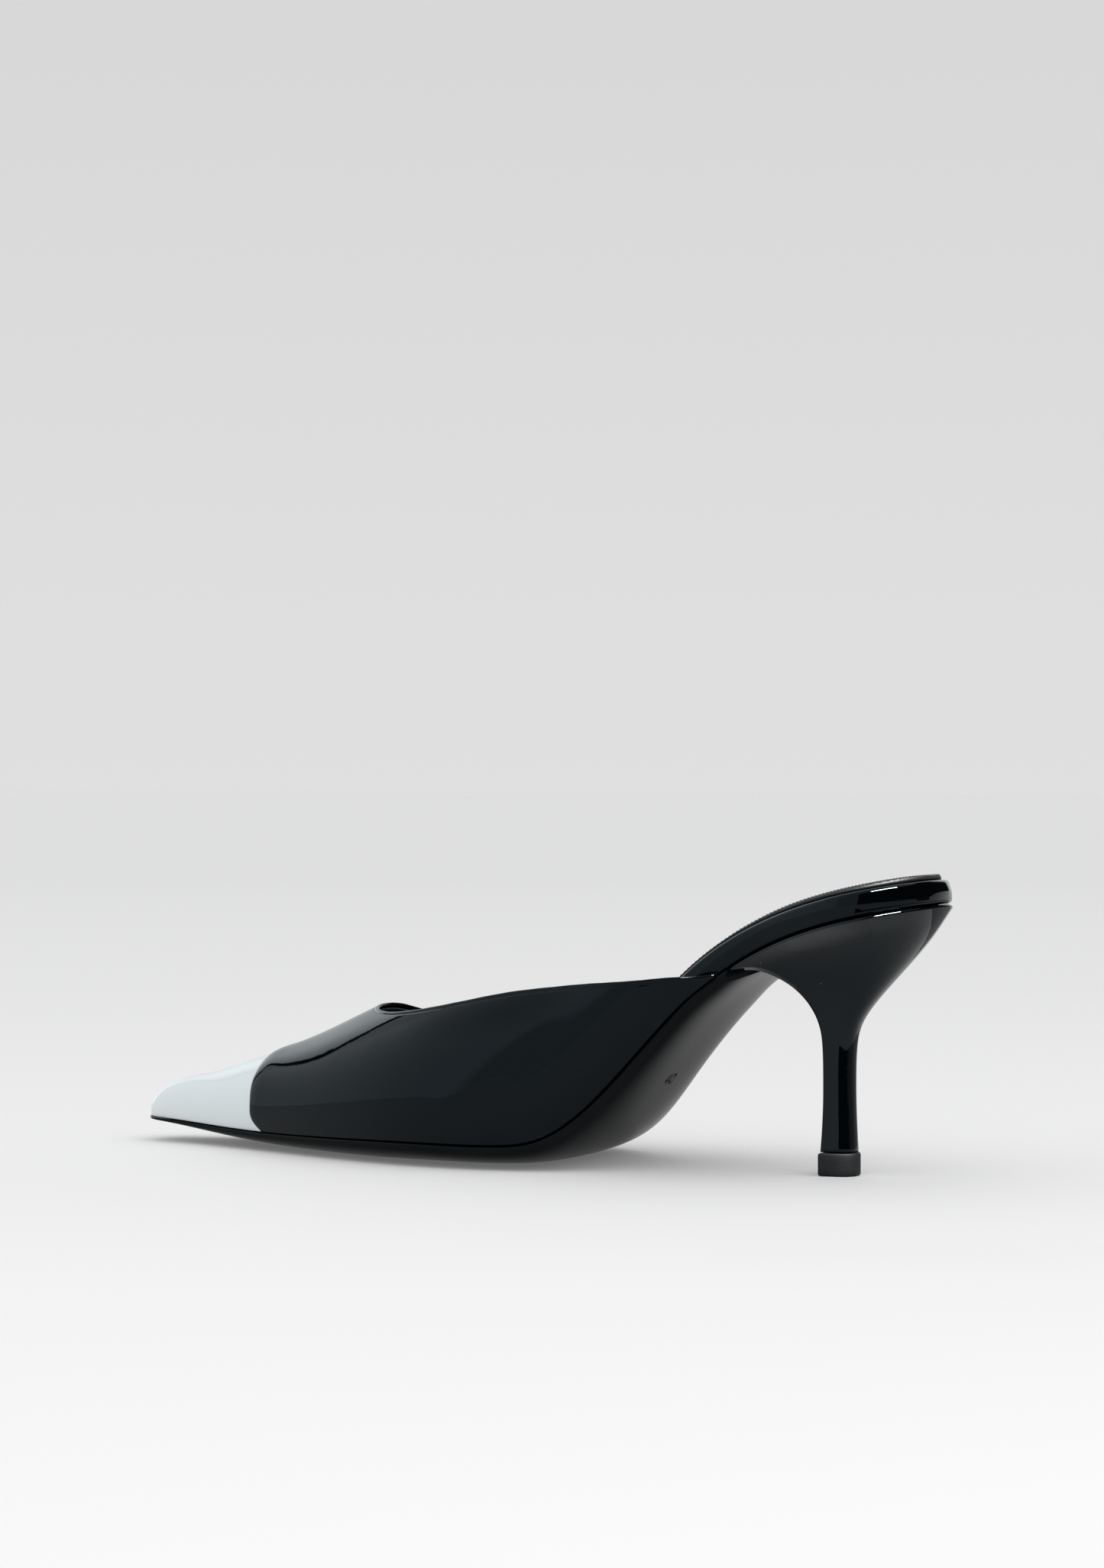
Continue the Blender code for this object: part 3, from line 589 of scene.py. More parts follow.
def turned_edge(outer, inner, steps):
    """Half circle from the outer face's last column to the inner one's. It leans away from
    the face, square to the edge's own line."""
    first, last = outer[:, -1], inner[:, -1]
    middle, half = (first + last) / 2, (first - last) / 2
    away = outer[:, -1] - outer[:, -4]
    line = np.gradient(first, axis=0)
    for direction in (line, half):
        unit = direction / np.linalg.norm(direction, axis=1, keepdims=True)
        away = away - unit * (away * unit).sum(1, keepdims=True)
    reach = np.linalg.norm(half, axis=1, keepdims=True)
    away *= reach / np.linalg.norm(away, axis=1, keepdims=True)
    turn = np.linspace(0, np.pi, steps + 2)[None, 1:-1, None]
    return middle[:, None] + half[:, None] * np.cos(turn) + away[:, None] * np.sin(turn)


def wall_shell(name, outer, inner, steps=7):
    """A closed wall: outer face, turned edge and inner face in one grid, and a strip along
    each foot between the two faces."""
    face = np.concatenate([outer, turned_edge(outer, inner, steps), inner[:, ::-1]], 1)
    feet = [np.stack([outer[n], inner[n]]) for n in (0, -1)]
    ends = [face[n, outer.shape[1] - 1:face.shape[1] - inner.shape[1] + 1] for n in (0, -1)]
    fills = [np.stack([end, end[::-1]])[:, : (len(end) + 1) // 2] for end in ends]
    return make_skin(name, [face, *feet, *fills])


def edge_distance(points, line):
    """Distance from each point to the nearest of a line's points, which are made finer first."""
    fine = np.linspace(0, len(line) - 1, 1500)
    line = np.stack([np.interp(fine, np.arange(len(line)), line[:, n]) for n in range(3)], -1)
    away = points[:, :, None] - line[None, None]
    return np.sqrt((away**2).sum(-1).min(-1))


def under_cap_face(depth):
    """A face of the vamp or its lining where the cap hides it, depth inside the cap's face."""
    station, up = under_cap(depth, HIDDEN_MARGIN, HIDDEN_COLUMNS)
    return last_form(station, up, side, CAP_DROP, depth)


vamp_station, vamp_up = along_vamp(0)
drop = shoulder_drop(vamp_station)
sunk = FRONT_SINK * (np.arange(vamp_station.shape[1]) == 0)[None, :]
vamp = last_form(vamp_station, vamp_up, side, drop, sunk)
vamp_inner = last_form(vamp_station, vamp_up, side, np.maximum(drop, sunk * 3), PATENT_THICKNESS)
outwards = vamp - vamp_inner
outwards /= np.linalg.norm(outwards, axis=-1, keepdims=True)
near = slice(-EDGE_COLUMNS, None)
reach = edge_distance(vamp[:, near], vamp[:, -1])

# One soft crease up the side where the foot bends: a ridge with a trough behind it
off_crease = LENGTH * (vamp_station - CREASE_STATION + CREASE_SLANT * (vamp_up - 0.2))
off_crease /= CREASE_WIDTH
crease = np.exp(-(off_crease**2)) - TROUGH_SHARE * np.exp(-((off_crease + TROUGH_OFFSET) ** 2))
crease = crease * ramp(vamp_up, 0.05, 0.22) * ramp(edge_up - vamp_up, 0.02, 0.12)
vamp += outwards * (CREASE_HEIGHT * crease)[..., None]

# The turned top edge: a low bead, and the groove where the fold ends
bead = BEAD_HEIGHT * np.sqrt(np.clip(1 - (2 * reach / BEAD_WIDTH - 1) ** 2, 0, 1))
groove = GROOVE_DEPTH * np.exp(-(((reach - BEAD_WIDTH) / GROOVE_WIDTH) ** 2))
vamp[:, near] += outwards[:, near] * (bead - groove)[..., None]
upper = wall_shell(
    "upper_vamp",
    np.concatenate([under_cap_face(HIDDEN_DEPTH), vamp], 1),
    np.concatenate([under_cap_face(HIDDEN_DEPTH + PATENT_THICKNESS), vamp_inner], 1),
)
upper.data.materials.append(black_patent)
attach(upper, "root")
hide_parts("upper")


# Lining
# Thin black leather glued to the inside of the upper and cut off just below its top edge.
LINING_TRIM = 0.0007
LINING_GLUE = 0.0001
lining_station, lining_up = along_vamp(LINING_TRIM)


def lining_face(depth):
    """One face of the lining, depth inside the upper's outer face: under the cap, then on."""
    open_part = last_form(lining_station, lining_up, side, shoulder_drop(lining_station), depth)
    return np.concatenate([under_cap_face(HIDDEN_DEPTH + depth), open_part], 1)


lining = wall_shell(
    "upper_lining",
    lining_face(PATENT_THICKNESS + LINING_GLUE),
    lining_face(UPPER_WALL),
    5,
)


# Leather grain: rounded cells with creases between them, at the size that is asked for, and a
# slow drift of tone
GRAIN_RISE = 1e-4
GRAIN_BEND = 0.0006
MARK_DEPTH = 0.00025
MARK_MATTNESS = 0.5
SHEEN_SPREAD = 0.08
leather_grain = new_group(
    "leather_grain",
    {"Cell Size": 0.0009, "Height": 1.0},
    {"Height": "NodeSocketFloat", "Tone": "NodeSocketFloat"},
)
given = leather_grain.nodes.new("NodeGroupInput").outputs
coords = leather_grain.nodes.new("ShaderNodeTexCoord").outputs["Object"]
bend = add_node(leather_grain, "TexNoise", Vector=coords, Scale=260.0, Detail=2.0)
bent = add_node(
    leather_grain,
    "VectorMath",
    {"operation": "MULTIPLY_ADD"},
    i0=bend.outputs["Color"],
    i1=(GRAIN_BEND,) * 3,
    i2=coords,
)
grain_scale = calc(leather_grain, "DIVIDE", 1.0, given["Cell Size"])
cells = add_node(
    leather_grain,
    "TexVoronoi",
    {"feature": "SMOOTH_F1"},
    Vector=bent.outputs[0],
    Scale=grain_scale,
    Smoothness=0.4,
)
raised = calc(leather_grain, "SUBTRACT", 1.0, cells.outputs["Distance"])
result = leather_grain.nodes.new("NodeGroupOutput").inputs
grain_rise = calc(leather_grain, "MULTIPLY", given["Height"], GRAIN_RISE)
grain_height = calc(leather_grain, "MULTIPLY", raised, grain_rise)
leather_grain.links.new(grain_height, result["Height"])
tone = add_node(leather_grain, "TexNoise", Vector=coords, Scale=45.0, Detail=3.0)
leather_grain.links.new(tone.outputs[0], result["Tone"])


def leather(name, dark, light, roughness, specular, mark=None, **grain):
    """Black leather: the grain's bump, and a slow change between two tones and of its sheen.
    mark builds the mask of something that is pressed into it, which is also more matt."""
    material, tree, shader = new_material(name)
    group = add_node(tree, "Group", {"node_tree": leather_grain})
    for label, value in grain.items():
        group.inputs[label.replace("_", " ")].default_value = value
    tones = add_node(tree, "Mix", {"data_type": "RGBA"}, i0=group.outputs["Tone"])
    tones.inputs[6].default_value = (*dark, 1)
    tones.inputs[7].default_value = (*light, 1)
    tree.links.new(tones.outputs[2], shader.inputs["Base Color"])
    spread = roughness - SHEEN_SPREAD, roughness + SHEEN_SPREAD
    sheen = remap(tree, group.outputs["Tone"], 0, 1, *spread)
    tree.links.new(sheen, shader.inputs["Roughness"])
    height = group.outputs["Height"]
    if mark:
        pressed = mark(tree)
        height = calc(tree, "MULTIPLY_ADD", pressed, -MARK_DEPTH, height)
        matt = calc(tree, "MULTIPLY_ADD", pressed, MARK_MATTNESS, sheen)
        tree.links.new(matt, shader.inputs["Roughness"])
    bump = add_node(tree, "Bump", Height=height, Strength=1.0, Distance=1.0)
    tree.links.new(bump.outputs[0], shader.inputs["Normal"])
    shader.inputs["Specular IOR Level"].default_value = specular
    return material


lining_leather = leather(
    "lining_leather",
    dark=(0.006, 0.006, 0.007),
    light=(0.012, 0.012, 0.014),
    roughness=0.48,
    specular=0.4,
    Cell_Size=0.0011,
    Height=0.5,
)
lining.data.materials.append(lining_leather)
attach(lining, "root")


# Toe cap
# White patent over the pointed toe, cut to a slightly bowed line and seamed under the
# vamp's rounded front edge, with which it is lasted.
CAP_MARGIN = 0.00006
CAP_COLUMNS = 60


def cap_face(depth):
    """The last's form, depth inside its outer face, from the tip to the seam."""
    station, up = under_cap(depth, CAP_MARGIN, CAP_COLUMNS)
    return last_form(station, up, side, CAP_DROP, depth)


toe_cap = wall_shell("toe_cap_patent", cap_face(0), cap_face(CAP_WALL), 5)
white_patent = patent(
    "white_patent",
    colour=(0.70, 0.762, 0.78),
    dusty=(0.45, 0.47, 0.47),
    roughness=0.09,
    specular=0.10,
    Wave_Size=0.020,
    Wave_Height=0.5,
    Ripple_Height=0.8,
    Dust=0.6,
)
toe_cap.data.materials.append(white_patent)
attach(toe_cap, "root")
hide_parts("toe_cap")


# Outsole
# Thin leather, painted black and waxed, skived at its edge and rounded underneath. It is
# glued on from the toe to the front of the heel, with the size pressed into its waist.
SOLE_MARGIN = 0.0003
SOLE_EDGE = 0.0005
SOLE_ROWS = 75
SOLE_COLUMNS = 230
TAIL_BLEND = 0.05
PLUMB_BLEND = 0.08
BELLY_POWER = 2.5
WAIST_POWER = 3.4
BELLY_FROM = 0.45
WAIST_FROM = 0.30
SOLE_TIP = 0.010
SIZE_X = 0.0435
SIZE_Y = -0.0009
SIZE_HEIGHT = 0.0034
SIZE_SLOPE = 1.61
BREAST_SETBACK = 0.0557
BREAST_HOLLOW = 0.0090
BREAST_CORNER = LENGTH / 2 - BREAST_SETBACK


def breast_x(y):
    """Front line of the heel seat: its corners' X plus a parabola of depth BREAST_HOLLOW."""
    half = insole_half_width(station_of(BREAST_CORNER), np.sign(y) + (y == 0))
    return BREAST_CORNER + BREAST_HOLLOW * np.maximum(1 - (y / half) ** 2, 0)


share = np.sin(np.linspace(-np.pi / 2, np.pi / 2, SOLE_ROWS))[:, None]
corner = station_of(BREAST_CORNER)
ends = station_of(breast_x(share * insole_half_width(corner, share)) - GAP)
along = 1 - (1 - corner) * np.linspace(0, 1, SOLE_COLUMNS)[None, :] ** 1.15
stations = 1 + (ends - 1) * (1 - along) / (1 - corner)
tail = ramp(stations, corner, corner + TAIL_BLEND)
plumb = ramp(stations, corner + PLUMB_BLEND, corner)
past = (UPPER_WALL + GAP + SOLE_MARGIN) * tail
nose = rounding(LENGTH * (1 - stations), TOE_NOSE, 2)
y = share * (half_width(np.maximum(stations, corner), share) + past) * nose
sole_top = from_feather(stations, y, -GAP - hollow(stations, y, share), plumb)
power = BELLY_POWER + (WAIST_POWER - BELLY_POWER) * ramp(stations, BELLY_FROM, WAIST_FROM)
section = (1 - np.abs(share) ** power) ** (1 / power)
section = section * rounding(LENGTH * (1 - stations), SOLE_TIP, 2)
depth = GAP + SOLE_EDGE + (sole_depth(stations) - GAP - SOLE_EDGE) * section
sole_bottom = from_feather(stations, y, -depth, plumb)
sole_bottom[..., 2] = np.maximum(sole_bottom[..., 2], 0)
sole_face = np.concatenate([sole_top, sole_bottom[:, ::-1]], 1)
sole_edges = [np.stack([sole_top[n], sole_bottom[n]]) for n in (0, -1)]
outsole = make_skin("outsole_leather", [sole_face, *sole_edges])


def pressed_size(tree):
    """Mask of the size number 40 in the waist, from each point's distance to the strokes of
    the 4 and to the ellipse of the 0. Distances are in heights of the digits, u across the shoe
    and v up the waist's slope, from the left of the 4 and the foot of the digits."""
    coords = add_node(tree, "TexCoord").outputs["Object"]
    place = add_node(tree, "SeparateXYZ", Vector=coords).outputs
    u = calc(tree, "MULTIPLY_ADD", place[1], 1 / SIZE_HEIGHT, 0.78 - SIZE_Y / SIZE_HEIGHT)
    slope = SIZE_SLOPE / SIZE_HEIGHT
    v = calc(tree, "MULTIPLY_ADD", place[0], slope, 0.5 - SIZE_X * slope)

    def long_side(a, b):
        """Square root of a squared plus b squared."""
        return calc(tree, "SQRT", calc(tree, "MULTIPLY_ADD", a, a, calc(tree, "MULTIPLY", b, b)))

    def from_stroke(ax, ay, bx, by):
        """Distance from (u, v) to the nearest point of the line from a to b."""
        square = (bx - ax) ** 2 + (by - ay) ** 2
        across = calc(tree, "MULTIPLY_ADD", u, (bx - ax) / square, -ax * (bx - ax) / square)
        along = calc(tree, "MULTIPLY_ADD", v, (by - ay) / square, -ay * (by - ay) / square)
        way = calc(tree, "MAXIMUM", calc(tree, "ADD", across, along), 0.0)
        way = calc(tree, "MINIMUM", way, 1.0)
        off_u = calc(tree, "SUBTRACT", u, calc(tree, "MULTIPLY_ADD", way, bx - ax, ax))
        off_v = calc(tree, "SUBTRACT", v, calc(tree, "MULTIPLY_ADD", way, by - ay, ay))
        return long_side(off_u, off_v)

    away = from_stroke(0.50, 1.0, 0.0, 0.33)
    away = calc(tree, "MINIMUM", away, from_stroke(0.0, 0.33, 0.68, 0.33))
    away = calc(tree, "MINIMUM", away, from_stroke(0.50, 1.0, 0.50, 0.0))
    round_u = calc(tree, "MULTIPLY_ADD", u, 1 / 0.30, -1.20 / 0.30)
    round_v = calc(tree, "MULTIPLY_ADD", v, 1 / 0.46, -0.5 / 0.46)
    radius = long_side(round_u, round_v)
    from_zero = calc(tree, "ABSOLUTE", calc(tree, "SUBTRACT", radius, 1.0))
    away = calc(tree, "MINIMUM", away, calc(tree, "MULTIPLY", from_zero, 0.36))
    return remap(tree, away, 0.13, 0.05, soft=True)


sole_leather = leather(
    "sole_leather",
    dark=(0.0022, 0.0030, 0.0034),
    light=(0.0050, 0.0065, 0.0072),
    roughness=0.20,
    specular=0.05,
    mark=pressed_size,
    Cell_Size=0.0008,
    Height=0.05,
)
outsole.data.materials.append(sole_leather)
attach(outsole, "root")
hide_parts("outsole")


# Heel
# A moulded heel in one piece of black patent, which is stretched round it and closed at its
# hollow front. It is screwed on from above, through the board.
STEM_WIDTH = 0.0091
TIP_WIDTH = 0.0100
STEM_LENGTH = 0.0073
TIP_LENGTH = 0.0086
STEM_SETBACK = 0.0255
TOP_PIECE_HEIGHT = 0.0062
FLARE_LEVEL = 0.30
STEM_POWER = 2.6
SCOOP_LEVEL = 0.35
SEAT_EDGE = 0.0009
SIDE_POINTS = 41
FRONT_POINTS = 25
HEEL_LEVELS = 110
# Columns: level, and the shares of the way out from the stem at the back, front and sides
HEEL_RINGS = np.array([
    (0.00, 0.000, 0.000, 0.000),
    (0.12, 0.000, 0.000, 0.000),
    (0.24, 0.000, 0.000, 0.001),
    (0.36, 0.000, 0.000, 0.004),
    (0.47, 0.012, 0.004, 0.016),
    (0.56, 0.065, 0.026, 0.040),
    (0.64, 0.205, 0.088, 0.085),
    (0.73, 0.430, 0.210, 0.180),
    (0.82, 0.665, 0.385, 0.340),
    (0.90, 0.845, 0.585, 0.550),
    (0.95, 0.930, 0.745, 0.735),
    (0.98, 0.973, 0.885, 0.890),
    (1.00, 1.000, 1.000, 1.000),
])
heel_back = smooth(HEEL_RINGS[:, 0], HEEL_RINGS[:, 1])
heel_front = smooth(HEEL_RINGS[:, 0], HEEL_RINGS[:, 2])
heel_width = smooth(HEEL_RINGS[:, 0], HEEL_RINGS[:, 3])


def heel_plan(level, grow=0.0):
    """Plan of the heel at each level: rows from front to back, with the sides on the way from
    a superellipse, the stem, to the seat's own outline, and the front hollowed by a parabola.
    grow moves the ends out and widens the sides by the same."""
    flare = np.clip(1 - level / FLARE_LEVEL, 0, 1) ** 2
    length = STEM_LENGTH + (TIP_LENGTH - STEM_LENGTH) * flare
    half = (STEM_WIDTH + (TIP_WIDTH - STEM_WIDTH) * flare) / 2
    middle = LENGTH / 2 - STEM_SETBACK - STEM_LENGTH / 2
    back = middle + length / 2 + STEM_SETBACK * heel_back(level) + grow
    reach = middle - STEM_LENGTH / 2 - BREAST_CORNER
    front = middle - length / 2 - reach * heel_front(level) - grow
    along = np.sin(np.linspace(0, np.pi / 2, SIDE_POINTS))[:, None]
    share = np.linspace(-1, 1, FRONT_POINTS)[None, :]
    seat = insole_half_width(station_of(BREAST_CORNER + BREAST_SETBACK * along), share)
    stem = half * (1 - along**STEM_POWER) ** (1 / STEM_POWER)
    width = stem + (seat - stem) * heel_width(level)
    y = share * width * (1 + grow / np.max(width, axis=(-2, -1), keepdims=True))
    scoop = BREAST_HOLLOW * ramp(level, SCOOP_LEVEL, 1.0) * (1 - share**2) * (1 - along) ** 2
    x = front + (back - front) * along + scoop
    return np.stack(np.broadcast_arrays(x, y), -1)


def rim_of(grid):
    """Border of each plan as one ring: up its first side, down its last and along its front."""
    first, last = grid[..., :, 0, :], grid[..., -2::-1, -1, :]
    return np.concatenate([first, last, grid[..., 0, -2:0:-1, :]], -2)


def heel_stack(name, levels, grows, heights):
    """A closed body through the heel's plans: the ring of each level, and the whole plan as a
    lid at both ends. heights gives Z from a plan's X and its number in the stack."""
    plans = heel_plan(levels[:, None, None], grows[:, None, None])
    number = np.arange(len(levels))
    rims = rim_of(plans)
    wall = np.concatenate([rims, heights(rims[..., :1], number[:, None, None])], -1)
    lids = [np.concatenate([plans[n], heights(plans[n][..., :1], number[n])], -1) for n in (0, -1)]
    return make_skin(name, [wall, *lids], wrap=True)


turn = np.linspace(0, np.pi / 2, EDGE_STEPS + 1)[1:]
levels = np.r_[1 - np.linspace(1, 0, HEEL_LEVELS) ** 1.6, np.ones(EDGE_STEPS)]
grows = np.r_[np.zeros(HEEL_LEVELS), -SEAT_EDGE * (1 - np.cos(turn))]
seat_drop = np.r_[np.full(HEEL_LEVELS, SEAT_EDGE), SEAT_EDGE * (1 - np.sin(turn))]
foot = TOP_PIECE_HEIGHT + GAP


def heel_heights(x, number):
    """From the heel's foot to the underside of the board, less the seat's rounded edge."""
    seat = feather_height(station_of(x)) - GAP - seat_drop[number]
    return foot + (seat - foot) * levels[number]


heel = heel_stack("heel_cover", levels, grows, heel_heights)
heel_patent = patent(
    "heel_patent",
    colour=(0.0010, 0.0015, 0.0022),
    dusty=(0.10, 0.12, 0.12),
    roughness=0.035,
    specular=0.235,
    tint=(0.78, 0.92, 1.0),
    Ripple_Size=0.0024,
    Ripple_Height=2.2,
)
heel.data.materials.append(heel_patent)
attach(heel, "root")
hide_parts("heel")


# Top piece
# Moulded matt black pad, a little larger than the heel's foot and pinned up into it, with
# its lower edge eased. It is the only part that wears on the ground at the back.
TOP_PIECE_MARGIN = 0.0005
SPECKLE_SCALE = 2400.0
SCUFF_SCALE = 350.0
tip_heights = np.array([0, 0.0001, 0.0003, 0.0006, 0.002, 0.004, 0.0056, 0.0059, 0.0061, 0.0062])
tip_insets = np.array([0.0006, 0.0003, 0.0001, 0, 0, 0, 0, 0.0001, 0.0002, 0.0004])
top_piece = heel_stack(
    "top_piece_pad",
    np.zeros(len(tip_heights)),
    TOP_PIECE_MARGIN - tip_insets,
    lambda x, number: tip_heights[number] + 0 * x,
)
black_rubber, tree, shader = new_material("black_rubber")
coords = add_node(tree, "TexCoord").outputs["Object"]
speckle = add_node(tree, "TexNoise", Vector=coords, Scale=SPECKLE_SCALE, Detail=3.0)
scuff = add_node(tree, "TexNoise", Vector=coords, Scale=SCUFF_SCALE, Detail=4.0)
tones = add_node(tree, "Mix", {"data_type": "RGBA"}, i0=scuff.outputs[0])
tones.inputs[6].default_value = (0.001, 0.0014, 0.0022, 1)
tones.inputs[7].default_value = (0.010, 0.0125, 0.016, 1)
tree.links.new(tones.outputs[2], shader.inputs["Base Color"])
matt = remap(tree, scuff.outputs[0], 0, 1, 0.5, 0.75)
tree.links.new(matt, shader.inputs["Roughness"])
shader.inputs["Specular IOR Level"].default_value = 0.12
bump = add_node(tree, "Bump", Height=speckle.outputs[0], Strength=0.35, Distance=0.0001)
tree.links.new(bump.outputs[0], shader.inputs["Normal"])
top_piece.data.materials.append(black_rubber)
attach(top_piece, "root")
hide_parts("top_piece")


# Sock
# Padded lining leather that is glued on the board last, set in from the rim. Under the heel
# a pad lifts it, and the whole of it has a raised grain of short slanting beads.
SOCK_EDGE = 0.0006
SOCK_PAD = 0.0014
SOCK_FORE = 0.0008
SOCK_INSET = 0.0016
SOCK_TOE = 0.965
SOCK_EASE = 0.0080
PAD_UP_TO = 0.12
PAD_GONE_AT = 0.24
BEAD_PITCH = 0.0010
BEAD_RISE = 0.00020
BEAD_SLANT = 0.5
BEAD_WIDTHS = 0.7
BEADS_UP_TO = 0.33
BEADS_GONE_AT = 0.38
BEADED_COLUMNS = 420
PLAIN_COLUMNS = 70
TIP_COLUMNS = 14
TIP_SHARE = 0.02
SOCK_ROWS = 171

# Stations: fine under the beads and crowded at both ends, with the rest plain
start = SOCK_INSET / LENGTH
beaded_end = 0.37
crowded = 0.12
seat_way = np.linspace(0, 1, BEADED_COLUMNS)
seat_way = np.where(seat_way < crowded, seat_way**2 / crowded, seat_way)
seat_stations = start + (beaded_end - start) * seat_way
fore_stations = np.linspace(beaded_end, SOCK_TOE - TIP_SHARE, PLAIN_COLUMNS)[1:]
toe_stations = SOCK_TOE - TIP_SHARE * np.linspace(1, 0, TIP_COLUMNS)[1:] ** 2
stations = np.sort(np.r_[seat_stations, fore_stations, toe_stations])[None, :]
way = np.linspace(-1, 1, SOCK_ROWS)[:, None]
share = 0.35 * np.sin(way * np.pi / 2) + 0.65 * way
ends = rounding(LENGTH * (stations - start), SEAT_ROUND, 2.2)
ends = ends * rounding(LENGTH * (SOCK_TOE - stations), TOE_NOSE, 2)
y = share * (half_width(stations, share) - SOCK_INSET - CAP_WALL - GAP) * ends
base = insole_thickness(stations) + GAP - hollow(stations, y, share)
pad = SOCK_FORE + (SOCK_PAD - SOCK_FORE) * (1 - ramp(stations, PAD_UP_TO, PAD_GONE_AT))
end_distance = np.minimum(stations - start, SOCK_TOE - stations) * LENGTH
inside = rounding(end_distance, SOCK_EASE, 2) * (1 - np.abs(share) ** 14)
inside = 1 - (1 - inside) ** 2

# Beads: one raised cosine along the foot times one across it, the first slanted by the second
along_beads = 2 * np.pi * (place_x(stations) + BEAD_SLANT * y) / BEAD_PITCH
across_beads = 2 * np.pi * BEAD_WIDTHS * y / BEAD_PITCH
beads = (0.5 + 0.5 * np.cos(along_beads)) * (0.5 + 0.5 * np.cos(across_beads))
beads = BEAD_RISE * beads * ramp(stations, BEADS_GONE_AT, BEADS_UP_TO) * ramp(inside, 0.1, 0.4)
sock_bottom = from_feather(stations, y, base)
sock_top = from_feather(stations, y, base + SOCK_EDGE + (pad - SOCK_EDGE) * inside + beads)
sock_sides = [np.stack([sock_top[n], sock_bottom[n]]) for n in (0, -1)]
sock = make_skin("sock_lining", [sock_top, sock_bottom[[0, SOCK_ROWS // 2, -1]], *sock_sides])
sock_leather = leather(
    "sock_leather",
    dark=(0.0035, 0.0042, 0.0052),
    light=(0.0085, 0.0100, 0.0120),
    roughness=0.50,
    specular=0.22,
    Cell_Size=0.0007,
    Height=0.35,
)
sock.data.materials.append(sock_leather)
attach(sock, "root")
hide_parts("sock")


# Floor and studio
# A pale seamless floor in a white tent, painted paler towards the front as light falloff, and
# glowing faintly as painted light that lifts the shoe's shadow. The patent mirrors a ring of
# cards round it, bright behind and on the left and dark on the right, with a thin dark gap.
# Small black and grey cards and a lit strip near the heel draw the lines on heel and rim.
FLOOR_REACH = 40.0
FLOOR_NEAR = -0.6
FLOOR_FAR = 3.0
# Painted light falloff: the floor's greys, paler near the front
FLOOR_PAINTED_FALLOFF = ((0.0, 0.795), (0.15, 0.71), (0.40, 0.65), (1.0, 0.61))
# Painted light: the floor's faint glow, which lifts the shoe's shadow
FLOOR_PAINTED_GLOW = 0.12
# Painted shade: the backdrop's grey, darker upwards
BACKDROP_PAINTED_SHADE = ((0.0, 0.745), (1.0, 0.686))
BACKDROP_TOP = 12.5
grid = np.linspace(-FLOOR_REACH, FLOOR_REACH, 9)
floor_points = np.stack(np.broadcast_arrays(grid[:, None], grid[None, :], 0.0), -1)
floor = make_skin("floor", [floor_points])
floor_paper, tree, shader = new_material("floor_paper")
to_camera = np.array([0.454, -0.891, 0.0])
to_right = np.array([0.891, 0.454, 0.0])


def along_axis(tree, vector, axis):
    """The vector's measure along a fixed axis."""
    settings = {"operation": "DOT_PRODUCT"}
    return add_node(tree, "VectorMath", settings, i0=vector, i1=tuple(axis)).outputs["Value"]


def grey_ramp(tree, value, low, high, tones):
    """Greys that change with a value: each tone stands at its share of the way up."""
    greys = add_node(tree, "ValToRGB", Fac=remap(tree, value, low, high))
    greys.color_ramp.elements.remove(greys.color_ramp.elements[1])
    for place, tone in tones:
        stop = greys.color_ramp.elements[0] if place == 0 else greys.color_ramp.elements.new(place)
        stop.color = (tone, tone, tone, 1)
    return greys.outputs[0]


coords = add_node(tree, "TexCoord").outputs["Object"]
away = along_axis(tree, coords, -to_camera)
# Painted light falloff: the floor's colour darkens away from the front
painted_falloff = grey_ramp(tree, away, FLOOR_NEAR, FLOOR_FAR, FLOOR_PAINTED_FALLOFF)
tree.links.new(painted_falloff, shader.inputs["Base Color"])
# Painted light: the floor glows faintly, which lifts the shoe's shadow
shader.inputs["Emission Color"].default_value = (1, 1, 1, 1)
shader.inputs["Emission Strength"].default_value = FLOOR_PAINTED_GLOW
shader.inputs["Roughness"].default_value = 0.8
shader.inputs["Specular IOR Level"].default_value = 0.1
floor.data.materials.append(floor_paper)

# The ring that the gloss mirrors. Azimuths and elevations are in degrees, azimuths from the
# camera round to its right, and strengths are those of the light
TENT_STRENGTH = 0.84
LEFT_STRENGTH = 1.24
DARK_STRENGTH = 0.012
GAP_STRENGTH = 0.01
BACK_FAR_STRENGTH = 0.72
BACK_NEAR_STRENGTH = 2.3
BACK_EDGE_SHARE = 0.62
GAP_START = -132.5
GAP_END = -127.5
GAP_TOP = 60.0
LEAN_FROM = 29.0
LEAN = 2.2
MIRRORED_COLOUR = (0.92, 0.98, 1.0, 1)
HORIZON_STRENGTH = 0.72
ZENITH_STRENGTH = 1.15
scene = bpy.context.scene
world = bpy.data.worlds.new("studio")
scene.world = world
world.use_nodes = True
tree = world.node_tree
tree.nodes.clear()
direction = add_node(tree, "TexCoord").outputs["Generated"]
rise = add_node(tree, "SeparateXYZ", Vector=direction).outputs[2]
elevation = calc(tree, "DEGREES", calc(tree, "ARCSINE", rise))
right = along_axis(tree, direction, to_right)
back = along_axis(tree, direction, to_camera)
azimuth = calc(tree, "DEGREES", calc(tree, "ARCTAN2", right, back))


def between(value, low, high, soft):
    """1 where the value is between low and high, with an S of half width soft at both ends."""
    rise = remap(tree, value, low - soft, low + soft, soft=True)
    fall = remap(tree, value, high - soft, high + soft, soft=True)
    return calc(tree, "SUBTRACT", rise, fall)


def laid_over(light, mask, strength):
    """The light where the mask is 0 and strength where it is 1."""
    settings = {"data_type": "FLOAT"}
    return add_node(tree, "Mix", settings, i0=mask, i2=light, i3=strength).outputs[0]


